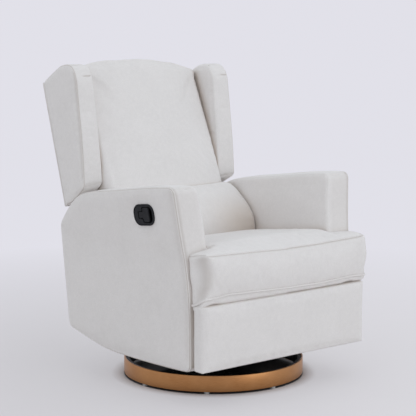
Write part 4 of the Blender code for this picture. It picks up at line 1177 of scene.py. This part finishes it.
def make_seat():
    close = close_lines(plan_radius)
    outer = -seat_ear_half + close
    notch = -seat_body_half + close
    bridge = np.linspace(outer[-1], notch[0], 9)[1:-1]
    count = round(2 * (seat_body_half - plan_radius) / cloth_step)
    middle = np.linspace(notch[-1], -notch[-1], count + 1)[1:-1]
    left = np.concatenate([outer, bridge, notch])
    x_lines = np.concatenate([left, middle, -left[::-1]])
    front = seat_front + close
    ear = ear_rear - close[::-1]
    across_ear = np.linspace(front[-1], ear[0], 4)[1:-1]
    rear = seat_rear - close[::-1]
    count = round((rear[0] - ear_rear) / cloth_step)
    body = np.linspace(ear_rear, rear[0], count + 1)[1:-1]
    y_lines = np.concatenate([front, across_ear, ear, body, rear])
    low = close_lines(seat_under_radius, 4)
    high = seat_tall - close_lines(seat_top_radius, 2)[::-1]
    seam = seat_seam_height
    beside = [seam - 0.0035, seam, seam + 0.0035]
    boxing = np.linspace(seam + 0.0035, high[0], 14)[1:-1]
    z_lines = np.concatenate([low, beside, boxing, high])
    shell = Shell(
        "seat_cushion_cover", [x_lines, y_lines, z_lines], seat_place,
        lambda x, y, z: (np.abs(x) < seat_body_half) | (y < ear_rear),
    )
    n = len(x_lines) - 1
    m = len(y_lines) - 1
    left_notch = len(outer) + len(bridge)
    right_notch = n - left_notch
    ear_line = len(front) + len(across_ear) + len(ear) - 1
    corners = [
        (0, 0), (n, 0), (n, ear_line), (right_notch, ear_line), (right_notch, m),
        (left_notch, m), (left_notch, ear_line), (0, ear_line),
    ]
    top_ring = shell.ring(2, -1, corners)
    seam_level = len(low) + 1
    seam_ring = shell.ring(2, seam_level, corners)
    shell.rings = (top_ring, seam_ring)
    x, y, z = shell.shares.T
    inside = (np.abs(x) <= seat_body_half + 1e-6) & (y > ear_rear) & (z < seat_tall)
    shell.pin(top_ring, seam_ring, z == 0, inside)
    puff(shell, pressure=4.0, grow=0.012, cap=0.0050)
    return shell


def finish_seat(shell):
    x, y, z = shell.points.T
    top_ring, seam_ring = shell.rings
    rise = shell.shares[:, 2] / seat_tall
    round_end = round_corner(x, y)
    lowest = seat_low - seat_sink - seat_hang["right"] * smoothstep(round_end, 0.310, 0.345)
    z[:] = np.maximum(z, lowest)

    most = seat_body_half + 0.005 * falling(y, -0.35, -0.32)
    held = np.clip(x, -most, most)
    x[:] = np.where(shell.shares[:, 1] > ear_rear + 0.001, held, x)

    fold = hump(x, seat_fold_x, 0.020) * hump(y, seat_fold_y, 0.022) * (rise == 1)
    z += seat_fold * fold
    cheek = smoothstep(-x, 0.325, 0.340) * hump(y, -0.372, 0.016)
    cheek *= smoothstep(rise, 0.10, 0.35) * falling(rise, 0.85, 1.0)
    x -= seat_cheek * cheek

    corner = smoothstep(np.abs(x), 0.27, 0.345) * (rise > 0.18)
    low_front = falling(rise, 0.10, 0.55) * falling(y, -0.425, -0.395)
    y += seat_creases * np.sin((x * 0.6 + z) * 620) * corner * low_front
    wave = np.sin(z * 95 + 0.8) * (1 - rise * 0.5)
    x += np.sign(x) * seat_side_wave * wave * smoothstep(np.abs(x), 0.33, 0.35)

    shell.seam[top_ring] = seat_seam_and_painted_shades["top"]
    shell.seam[seam_ring] = seat_seam_and_painted_shades["low"]
    # Painted shade along a fold in the top
    fold_painted_shade = hump(y - 0.35 * (x - seat_fold_x), seat_fold_y, 0.007) * (rise == 1)
    fold_painted_shade *= smoothstep(x, -0.280, seat_fold_x) * falling(x, -0.235, -0.215)
    shell.shade(seat_seam_and_painted_shades["fold"] * fold_painted_shade)
    # Painted shade in a band round the near front corner, as if it turned away from the light
    middle = 0.331 + 0.013 * smoothstep(rise, 0.60, 0.90)
    middle += 0.014 * falling(rise, 0.25, 0.45)
    hollow = hump(round_end, middle, 0.019) * smoothstep(rise, 0.17, 0.26) * (y < ear_rear)
    shell.shade(seat_seam_and_painted_shades["hollow"] * hollow * falling(rise, 0.90, 1.00))

    shell.roughen(seat_ripple, 11, 1)
    # Half the painted crease shade on the seat
    shell.closed_in *= seat_painted_shade_share
    cord_on(shell, "seat_top_piping", top_ring, piping_radius * 0.8, -0.0002, "chair")
    cord_on(shell, "seat_low_piping", seam_ring, piping_radius * 1.25, 0.0020, "chair")
    settle(shell)
    soft_piece(shell, "chair", "seat_cushion", fill=0.85)


# Back: cushion, lumbar roll, wings and the outside panel

back_lean = math.atan(0.30)
back_plane_y = 0.338 + swivel_y
back_plane_z = 0.400
back_cushion_low = 0.460
back_cushion_high = 1.004
back_front_y = 0.236 + swivel_y
back_front_z = 0.611
back_slope = 0.441
back_crown = 0.028
back_arch = 0.048
back_drop = 0.052
back_frame_front = 0.0396
back_sizes = (0.528, 0.110, 0.560)
back_radii = (0.026, 0.026, 0.010)
back_side_play = 0.0015
back_fold_depth = 0.0026
back_ripple = 0.0010


def behind(height, forward):
    """The y of the leaning plane that lies a distance in front of the outside."""
    slope = math.tan(back_lean)
    return back_plane_y + (height - back_plane_z) * slope - forward / math.cos(back_lean)


def on_back(x, along, forward):
    """Points on the leaning back: a distance up it and one in front of its outside."""
    sine, cosine = math.sin(back_lean), math.cos(back_lean)
    return np.stack([
        x, back_plane_y + along * sine - forward * cosine,
        back_plane_z + along * cosine + forward * sine,
    ], axis=1)


def back_half_width(rise):
    return np.interp(rise, (0, 0.04, 0.28, 0.53, 1), (0.252, 0.252, 0.2565, 0.2625, 0.2640))


back_top_x = (-1.00, -0.75, -0.64, -0.52, -0.40, -0.28, -0.15, 0.0, 0.25, 0.40, 0.55, 1.00)
back_top_lift = (
    0.0145, 0.0150, 0.0130, 0.0090, 0.0036, 0.0010, -0.0006, -0.0010, -0.0040, -0.0042,
    -0.0018, -0.0020,
)


def back_place(shares):
    across, deep, rise = rounded(shares, back_sizes, back_radii).T
    x_share = across * 2 - 1
    bow = 1 - x_share**2
    z = back_cushion_low + (back_cushion_high - back_cushion_low) * rise
    top_share = np.clip((rise - 0.5) * 2, 0, 1) ** 2
    top_lift = np.interp(x_share, back_top_x, back_top_lift)
    height = z + (back_arch * bow + top_lift) * top_share
    front = back_front_y + (height - back_front_z) * back_slope - back_crown * bow
    height = height - back_drop * top_share * deep
    y = front + (behind(height, back_frame_front) - front) * deep
    return np.stack([x_share * back_half_width(rise), y, height], axis=1)


def make_back_cushion():
    lines = [
        stations(size, cloth_step, radius, edge_lines=count)
        for size, radius, count in zip(back_sizes, back_radii, (5, 4, 3))
    ]
    shell = Shell("back_cushion_cover", lines, back_place)
    shell.pin(shell.ring(1, -1), shell.shares[:, 1] > 0.5, shell.shares[:, 2] == 0)
    puff(shell, pressure=3.0, grow=0.004, cap=0.007)
    return shell


def finish_back_cushion(shell):
    x, y, z = shell.points.T
    _, deep, rise = shell.shares.T
    half = back_half_width(rise) + back_side_play
    x[:] = np.clip(x, -half, half)
    along = z - 0.72 + (x - 0.17) * 1.05
    reach = hump(x, 0.205, 0.062) * hump(z, 0.705, 0.070)
    y -= back_fold_depth * np.sin(along * 175) * reach * (deep < 0.5)
    shell.roughen(back_ripple, 8, 2)
    # No painted crease shade along the bottom
    shell.closed_in *= smoothstep(rise, 0.10, 0.25)
    settle(shell)
    soft_piece(shell, "backrest", "back_cushion", fill=0.8)


lumbar_rise = (0.000, 0.209, 0.357, 0.592, 0.870, 1.000)
lumbar_reach_shares = (0.84, 0.95, 1.00, 0.88, 0.50, 0.20)
lumbar_low = 0.4380
lumbar_high = 0.6060
lumbar_half = 0.2570
lumbar_reach = 0.112
lumbar_crown = 0.010
lumbar_sizes = (2 * lumbar_half, 0.105, lumbar_high - lumbar_low)
lumbar_radius = 0.018
lumbar_sink = 0.002
lumbar_ripple = 0.0012
# Darkness of the end seams, and of the painted shade where the roll meets the seat
lumbar_seam_and_painted_shades = {"end": 0.5, "contact_painted_shade": 0.50}


def lumbar_place(shares):
    across, deep, rise = rounded(shares, lumbar_sizes, lumbar_radius).T
    x_share = across * 2 - 1
    bow = 1 - x_share**2
    z = lumbar_low + (lumbar_high - lumbar_low) * rise
    rear = back_front_y + (z - back_front_z) * back_slope - back_crown * bow - 0.0004
    reach = lumbar_reach - back_crown * bow + lumbar_crown * bow
    y = rear - reach * np.interp(rise, lumbar_rise, lumbar_reach_shares) * (1 - deep)
    return np.stack([x_share * lumbar_half, y, z], axis=1)


def make_lumbar():
    lines = lines_for(lumbar_sizes, cloth_step, lumbar_radius)
    shell = Shell("lumbar_roll_cover", lines, lumbar_place)
    shell.pin(
        shell.shares[:, 1] > 0.6, shell.shares[:, 2] == 0, shell.ring(0, 0), shell.ring(0, -1)
    )
    puff(shell, pressure=3.0, grow=0.010, cap=0.006)
    return shell


def finish_lumbar(shell):
    x, _, z = shell.points.T
    x[:] = np.clip(x, -lumbar_half, lumbar_half)
    z[:] = np.maximum(z, lumbar_low - lumbar_sink)
    shell.roughen(lumbar_ripple, 12, 5)
    for side, level in (("right", 0), ("left", -1)):
        ring = shell.ring(0, level)
        shell.seam[ring] = lumbar_seam_and_painted_shades["end"]
        cord_on(shell, f"lumbar_{side}_piping", ring, 0.0020, -0.0006, "backrest")
    # Painted shade: the far, low end of the roll darkened as if in shade, less crease shade at its
    # near end and top, and a dark line where it meets the seat
    across, deep, rise = shell.shares.T
    far_low_painted_shade = smoothstep(across, 0.45, 0.90) * falling(rise, 0.25, 0.95) * (deep < 0.5)
    kept = (0.40 + 0.60 * smoothstep(across, 0.30, 0.75)) * falling(rise, 0.60, 0.85)
    shell.closed_in = np.maximum(shell.closed_in * kept, far_low_painted_shade)
    contact_painted_shade = falling(rise, 0.030, 0.085) * (deep < 0.5)
    shell.shade(lumbar_seam_and_painted_shades["contact_painted_shade"] * contact_painted_shade)
    settle(shell)
    soft_piece(shell, "backrest", "lumbar_cushion", fill=0.75)


wing_inner = well_half_width + 0.002
wing_outer = well_half_width + 0.072
wing_width = wing_outer - wing_inner
wing_depth = 0.2245
wing_front = 0.269 + swivel_y
wing_low = 0.5575
wing_height = 0.468
wing_panel_front = 0.0055
wing_bottom_shares = {
    "left": ((0.000, 0.124), (0.050, 0.110), (0.190, 0.076), (0.400, 0.015), (0.459, -0.005)),
    "right": ((0.000, 0.158), (0.050, 0.130), (0.190, 0.073), (0.400, 0.005), (0.459, -0.012)),
}
wing_top_shares = (
    (0.178, 0.920), (0.240, 0.970), (0.374, 0.999), (0.529, 0.992), (0.633, 0.978),
    (0.846, 0.918), (1.000, 0.864),
)
wing_front_shares = (
    (0.004, 0.212), (0.045, 0.480), (0.107, 0.660), (0.160, 0.860),
    (0.178, 0.920),
)
wing_thick_rises = (0.00, 0.08, 0.40, 0.75, 0.95, 1.00)
wing_thick = (0.0080, 0.0095, 0.0055, 0.0035, 0.0000, 0.0000)
wing_top_shift = {"left": -0.0045, "right": 0.0043}
wing_tucks = {"left": (0.978, 0.50, 0.95), "right": (0.978, 0.05, 0.50)}
wing_top_tucks = {"left": (0.19, 0.05, 0.50), "right": (0.19, 0.50, 0.95)}
wing_sizes = (wing_width, 0.190, 0.430)
wing_radii = (0.014, 0.008)
wing_corner, wing_low_corner, wing_rear_corner = 0.032, 0.016, 0.010
wing_inner_slack = 0.0125
wing_tuck_depth = 0.0028
wing_tuck_rim = 0.0012
wing_pucker_depth = 0.0016
wing_ripple = 0.0009
wing_seam_depth = 0.0014
# Darkness of painted shade in tucks, puckers and a band beside the front seam, and of the seam
# line
wing_seam_and_painted_shades = {"tuck": 0.80, "pucker": 0.06, "seam": 0.6, "band": 0.20, "band_up": 0.14}
wing_dip = {"left": -0.006, "right": 0.007}
wing_rear_rises = (0.000, 0.060, 0.360, 0.640, 0.930, 1.000)


def make_wing(side, sign):
    def rear_point(rise):
        height = wing_low + rise * wing_height
        return (behind(height, wing_panel_front) - wing_front) / wing_depth, rise

    bottom = wing_bottom_shares[side]
    last_low, last_high = bottom[-1][1], wing_top_shares[-1][1]
    rear = [rear_point(last_low + (last_high - last_low) * step) for step in wing_rear_rises]
    front = [bottom[0], *wing_front_shares]
    bottom = [*bottom[:-1], rear[0]]
    top = [*wing_top_shares[:-1], rear[-1]]

    def place(shares):
        shares = rounded(shares, wing_sizes, np.where(shares[:, :1] < 0.5, *wing_radii))
        corner = np.where(shares[:, 2:] > 0.5, wing_corner, wing_low_corner)
        corner = np.where(shares[:, 1:2] > 0.5, wing_rear_corner, corner)
        shares = bent_corners(shares, wing_sizes, corner, [1, 2])
        flat = patch_at(bottom, top, front, rear, shares[:, 1], shares[:, 2])
        y = wing_front + flat[:, 0] * wing_depth
        z = wing_low + flat[:, 1] * wing_height
        thick = np.interp(shares[:, 2], wing_thick_rises, wing_thick)
        thick = thick * falling(flat[:, 0], 0.05, 0.60) * (1 - shares[:, 0])
        x = wing_inner + wing_width * shares[:, 0] - thick
        dip = wing_dip[side] * shares[:, 0] * falling(shares[:, 2], 0.0, 0.20)
        dip = dip * falling(flat[:, 0], 0.30, 0.46)
        settled = smoothstep(flat[:, 1], 0.3, 1.0) * wing_top_shift[side]
        return np.stack([sign * x, y, z + settled - dip], axis=1)

    lines = [lines_across(wing_width, wing_radii, 6)]
    lines += [stations(size, fine_cloth_step, 0.010, wing_corner) for size in wing_sizes[1:]]
    for axis, tuck, room in ((1, wing_top_tucks[side][0], 0.010), (2, wing_tucks[side][0], 0.005)):
        beside = [tuck - room, tuck, tuck + room]
        kept = [line for line in lines[axis] if min(abs(line - b) for b in beside) > room * 0.8]
        lines[axis] = np.array(sorted(kept + beside))
    shell = Shell(f"wing_{side}_cover", lines, place)
    shell.rings = (shell.ring(0, -1), shell.ring(0, 0))
    shell.pin(*shell.rings, shell.shares[:, 1] == 1)
    puff(shell, pressure=3.5, grow=0.006, cap=0.005)
    return shell


def finish_wing(shell, side, sign):
    points = shell.points
    across, deep, rise = shell.shares.T
    outer_ring = shell.rings[0]
    normals = shell.normals()
    least = wing_inner - wing_inner_slack * falling(deep, 0.10, 0.70)
    points[:, 0] = sign * np.clip(np.abs(points[:, 0]), least, wing_outer + 0.003)
    front = falling(deep, 0.02, 0.10) * falling(np.abs(across - 0.5), 0.40, 0.5)
    # Tucks and puckers fold the cloth, and shade is painted into their grooves
    for place, width, other, tuck in (
        (rise, 0.0035, deep, wing_tucks[side]), (deep, 0.0070, 1 - rise, wing_top_tucks[side]),
    ):
        height, low, high = tuck
        reach = smoothstep(across, low - 0.06, low + 0.06)
        reach *= falling(across, high - 0.06, high + 0.06)
        reach *= falling(other, 0.01, 0.04)
        groove = hump(place, height, width)
        beside = hump(place, height - 2.8 * width, 1.8 * width)
        points -= normals * (wing_tuck_depth * groove * reach)[:, None]
        points += normals * (wing_tuck_rim * beside * reach)[:, None]
        shell.shade(wing_seam_and_painted_shades["tuck"] * groove * reach)
    pucker = falling(rise, 0.0, 0.09) * front
    points -= normals * (wing_pucker_depth * pucker * (1 + np.sin(across * 26 + 1)))[:, None]
    shell.shade(wing_seam_and_painted_shades["pucker"] * pucker * falling(rise, 0.0, 0.03))
    shell.roughen(wing_ripple, 13, 7 + sign, normals)
    # Painted shade: a band beside the front seam on the outer face, darker higher up, and less
    # painted crease shade along the bottom
    band = (across > 0.999) * hump(deep, 0.040, 0.045) * smoothstep(rise, 0.03, 0.10)
    shell.shade((wing_seam_and_painted_shades["band"] + wing_seam_and_painted_shades["band_up"] * rise) * band)
    shell.closed_in *= smoothstep(rise, 0.02, 0.12)
    points[outer_ring] -= normals[outer_ring] * wing_seam_depth
    shell.seam[outer_ring] = np.maximum(shell.seam[outer_ring], wing_seam_and_painted_shades["seam"])
    settle(shell)
    soft_piece(shell, "backrest", f"wing_{side}", fill=0.85)


outside_neck = well_half_width - 0.012
outside_half = well_half_width + 0.0680
outside_shoulder = 0.158
outside_top = 0.585
outside_arch = 0.024
outside_edge = 0.0030
outside_layers = (0, 0.003, 0.009, 0.012)
outside_swell = 0.0035
outside_swell_reach = 0.06
outside_ripple = 0.0006


def make_outside_back():
    close = np.array([0, outside_edge / 3, outside_edge])
    beside = np.linspace(-outside_half + 0.012, -outside_neck - 0.010, 6)
    wide = np.concatenate([-outside_half + close, beside])
    neck = -outside_neck + close
    middle = np.linspace(neck[-1], -neck[-1], 42)[1:-1]
    left = np.concatenate([wide, neck])
    x_lines = np.concatenate([left, middle, -left[::-1]])
    up = np.concatenate([
        close, np.linspace(0.012, outside_shoulder - 0.012, 13), outside_shoulder + close,
        np.linspace(outside_shoulder + 0.014, outside_top - 0.014, 34), outside_top - close[::-1],
    ])

    def place(spots):
        x, forward, along = spots.T
        high = smoothstep(along, outside_shoulder, outside_top)
        lift = outside_arch * (1 - (x / outside_half) ** 2) * high
        soft = np.minimum.reduce([
            outside_half - np.abs(x), outside_top - along, np.full(len(x), outside_swell_reach),
        ])
        swell = outside_swell * np.sqrt(np.clip(soft / outside_swell_reach, 0, 1))
        forward = np.where(forward < 0.006, forward - swell, forward)
        return on_back(x, along + lift, forward)

    shell = Shell(
        "outside_back_cover", [x_lines, outside_layers, up], place,
        lambda x, t, a: (np.abs(x) < outside_neck) | (a > outside_shoulder),
    )
    n, m = len(x_lines) - 1, len(up) - 1
    left_neck = len(wide)
    shoulder = len(close) + 13
    corners = [
        (left_neck, 0), (n - left_neck, 0), (n - left_neck, shoulder), (n, shoulder), (n, m),
        (0, m), (0, shoulder), (left_neck, shoulder),
    ]
    ring = shell.ring(1, 0, corners)
    shell.seam[ring] = 0.5
    shell.roughen(outside_ripple, 8, 11)
    cord_on(shell, "outside_back_piping", ring, 0.0024, -0.0004, "backrest")
    settle(shell)
    soft_piece(shell, "backrest", "outside_back", fill=0.7)


# Footrest pad and the panel between the arms at the rear

pad_play = (0.0010, 0.0025)
pad_rise = 0.0100
pad_room = 0.004
pad_radii = (0.020, 0.020, 0.005)
pad_steps = (0.0090, cloth_step, cloth_step)
pad_ripple = 0.0008
pad_corner_drop, pad_corner_out = 0.0015, 0.0020
pad_arch = 0.0005


def make_footrest():
    low, high = (np.array(corner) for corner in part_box("footrest_pad"))
    low[0], high[0] = low[0] - pad_play[0], high[0] + pad_play[1]
    high[2] += pad_rise
    sizes = high - low
    sizes[1] -= pad_room
    low[1] += pad_room
    lines = [
        stations(size, step, radius, edge_lines=count)
        for size, step, radius, count in zip(sizes, pad_steps, pad_radii, (4, 4, 3))
    ]
    shell = Shell(
        "footrest_pad_cover", lines, lambda shares: low + rounded(shares, sizes, pad_radii) * sizes
    )
    shell.pin(shell.ring(1, -1), shell.shares[:, 1] > 0.6, shell.ring(2, 0), shell.ring(2, -1))
    puff(shell, pressure=3.0, grow=0.004, cap=0.0045)
    return shell


def finish_footrest(shell):
    _, y, z = shell.points.T
    across, deep, rise = shell.shares.T
    edge = np.minimum(across, 1 - across)
    corner = falling(edge, 0.0, 0.022) * falling(rise, 0.0, 0.06)
    corner *= falling(deep, 0.1, 0.5)
    z -= pad_corner_drop * corner
    y -= pad_corner_out * corner
    z += pad_arch * np.sin(across * np.pi) * falling(rise, 0.0, 0.08)
    shell.roughen(pad_ripple, 9, 13)
    shell.seam[shell.ring(1, -1)] = 0.5
    settle(shell)
    soft_piece(shell, "footrest", "footrest_pad", fill=0.85)


def make_rear_panel():
    low, high = (np.array(corner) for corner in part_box("rear_panel"))
    sizes = high - low

    def place(shares):
        spots = low + rounded(shares, sizes, 0.005) * sizes
        swell = np.sin(shares[:, 0] * np.pi) * np.sin(shares[:, 2] * np.pi)
        spots[:, 1] += 0.0025 * np.sqrt(np.clip(swell, 0, 1)) * (shares[:, 1] - 0.5) * 2
        return spots

    shell = Shell("rear_panel_cover", lines_for(sizes, 0.010, 0.005), place)
    shell.roughen(0.0005, 9, 17)
    settle(shell)
    soft_piece(shell, "chair", "rear_panel", fill=0.7)


# Bronze ring of the base

ring_radius = 0.300
ring_wall = 0.005
ring_low = 0.0063
ring_top = 0.0590
ring_steps = 240


def make_ring():
    edge = 0.0012
    outer, inner = ring_radius, ring_radius - ring_wall
    profile = [
        (outer - edge, ring_low), (outer - edge * 0.3, ring_low + edge * 0.3),
        (outer, ring_low + edge), (outer, ring_top - edge),
        (outer - edge * 0.3, ring_top - edge * 0.3), (outer - edge, ring_top),
        (inner + edge * 0.4, ring_top), (inner, ring_top - edge * 0.4),
        (inner, ring_low + edge * 0.4), (inner + edge * 0.4, ring_low),
    ]
    rings = [circle((0, swivel_y, 0), *spot, ring_steps) for spot in profile]
    mesh = loft("base_ring_band", rings[::-1])
    ring = joined("base_ring_band", [mesh], "bronze", 0.9)
    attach(ring, "base")
    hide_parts("base_ring")


# Floor, background and lamps

floor_colour = (0.669, 0.636, 0.627)
# Colours of the floor's painted glow for the camera: darker at the near left, lighter at the near
# right, paler far off
near_left_colour = (0.612, 0.605, 0.638)
near_right_colour = (0.725, 0.718, 0.758)
far_colour = (0.755, 0.750, 0.812)
sky_colour = (0.758, 0.752, 0.815)
floor_reach = 9.0
floor_steps = 96
# From here out the painted glow rises, so the floor close round the ring is painted darker
floor_open_from = (0.300, 0.345)
# Painted shadow: the floor's colour is cut to this share inside the ring
floor_ring_shade = 0.12
floor_glow = 0.58
floor_shadow_radii = (0.298, 0.302)
floor_shadow_shift = (0, -0.014, 0.05, 0.20)
floor_fade_from = (0.2, 2.8)
floor_side_from = (-0.6, 0.6)
world_light = 0.83
world_colour = (0.948, 0.995, 1.048)
sky_from = (-0.13, 0.03)


def seen_directly(nodes):
    """1 for rays that come from the camera, straight or by a mirror or through glass."""
    path = nodes.add("ShaderNodeLightPath")
    seen = nodes.math("MAXIMUM", path.outputs["Is Camera Ray"], path.outputs["Is Glossy Ray"])
    return nodes.math("MAXIMUM", seen, path.outputs["Is Transmission Ray"])


def floor_material():
    nodes = material_nodes("floor")
    cloud = nodes.noise(3, 2)
    paler = tuple(c * 1.03 for c in floor_colour)
    tone = nodes.tones(cloud, floor_colour, paler)
    glow = nodes.add("ShaderNodeEmission", Strength=1.0)
    place = nodes.add("ShaderNodeTexCoord")
    length = nodes.add("ShaderNodeVectorMath", operation="LENGTH")
    nodes.link(place.outputs["Object"], length.inputs[0])
    offset = [nodes.add("ShaderNodeVectorMath", operation="DOT_PRODUCT") for _ in range(2)]
    heading = (math.sin(camera_heading), math.cos(camera_heading), 0)
    rightwards = (math.cos(camera_heading), -math.sin(camera_heading), 0)
    for node, way in zip(offset, (heading, rightwards)):
        nodes.link(place.outputs["Object"], node.inputs[0])
        node.inputs[1].default_value = way
    far_side = nodes.span(offset[0].outputs["Value"], *floor_shadow_shift)
    radius = nodes.math("ADD", length.outputs["Value"], far_side)
    # Painted shadow: the floor inside the ring is darkened, a little further out on the far side
    inside = nodes.span(radius, 1, 0, *floor_shadow_radii)
    dark = tuple(c * floor_ring_shade for c in floor_colour)
    tone = nodes.mix(inside, tone, dark)
    nodes.finish(tone, Roughness=0.7, Specular_IOR_Level=0.2)
    # Painted light: for the camera the floor partly glows, darker at the near left, lighter at the
    # near right, paler far off, and none close round the ring
    fade = nodes.span(length.outputs["Value"], 0, 1, *floor_fade_from)
    sideways = nodes.span(offset[1].outputs["Value"], 0, 1, *floor_side_from)
    near = nodes.mix(sideways, near_left_colour, near_right_colour)
    far = nodes.mix(fade, near, far_colour)
    nodes.link(far, glow.inputs["Color"])
    outside = nodes.span(radius, 0, 1, *floor_open_from)
    level = nodes.span(fade, floor_glow, 1.0)
    amount = nodes.math("MULTIPLY", level, seen_directly(nodes))
    amount = nodes.math("MULTIPLY", amount, outside)
    output = nodes.tree.nodes["Material Output"]
    nodes.blend(amount, nodes.shader, glow, output)
    return nodes.owner


def make_stage():
    mesh = bpy.data.meshes.new("floor")
    rim = circle((0, 0, 0), floor_reach, 0, floor_steps)
    mesh.from_pydata(rim, [], [list(range(floor_steps))])
    floor = in_scene("floor", mesh)
    floor.location = (0, swivel_y, 0)
    mesh.materials.append(floor_material())

    world = bpy.data.worlds.new("studio")
    bpy.context.scene.world = world
    nodes = Nodes(world)
    nodes.tree.nodes.clear()
    split = nodes.add("ShaderNodeSeparateXYZ")
    nodes.link(nodes.add("ShaderNodeTexCoord").outputs["Generated"], split.inputs[0])
    height = nodes.span(split.outputs["Z"], 0, 1, *sky_from)
    view = nodes.add("ShaderNodeBackground")
    nodes.link(nodes.mix(height, far_colour, sky_colour), view.inputs["Color"])
    light = nodes.add("ShaderNodeBackground")
    light.inputs["Color"].default_value = (*world_colour, 1)
    light.inputs["Strength"].default_value = world_light
    nodes.blend(seen_directly(nodes), light, view, nodes.add("ShaderNodeOutputWorld"))


lamps = (
    ("front", (0.8, -4.0, 0.68), 2.4, 29.5, (0.948, 1.0, 1.053)),
    ("top", (-0.4, -0.6, 3.8), 2.8, 8.6, (0.948, 1.0, 1.053)),
    ("side", (-3.8, -1.0, 1.9), 2.2, 4.6, (0.930, 0.99, 1.058)),
)


def make_lamps():
    for name, place, size, power, colour in lamps:
        data = bpy.data.lights.new(name, "AREA")
        data.shape = "SQUARE"
        data.size = size
        data.energy = power
        data.color = colour
        lamp = in_scene(name, data)
        lamp.location = place
        aim = Vector((0, -0.05, 0.5)) - Vector(place)
        lamp.rotation_euler = aim.to_track_quat("-Z", "Y").to_euler()


# Making everything

make_camera()
make_stage()
make_lamps()
dress_frame()
bpy.context.scene.view_settings.view_transform = "Standard"

sides = {"left": 1, "right": -1}
arms = {side: make_arm(side, sign) for side, sign in sides.items()}
seat = make_seat()
cushion = make_back_cushion()
roll = make_lumbar()
wings = {side: make_wing(side, sign) for side, sign in sides.items()}
pad = make_footrest()

simulate()
find_painted_shade([*arms.values(), *wings.values(), seat, cushion, roll, pad])

for side, sign in sides.items():
    finish_arm(arms[side], side, sign)
    finish_wing(wings[side], side, sign)
finish_seat(seat)
finish_back_cushion(cushion)
finish_lumbar(roll)
finish_footrest(pad)
make_outside_back()
make_rear_panel()
make_ring()
make_release()
cut_cup(arms["right"])
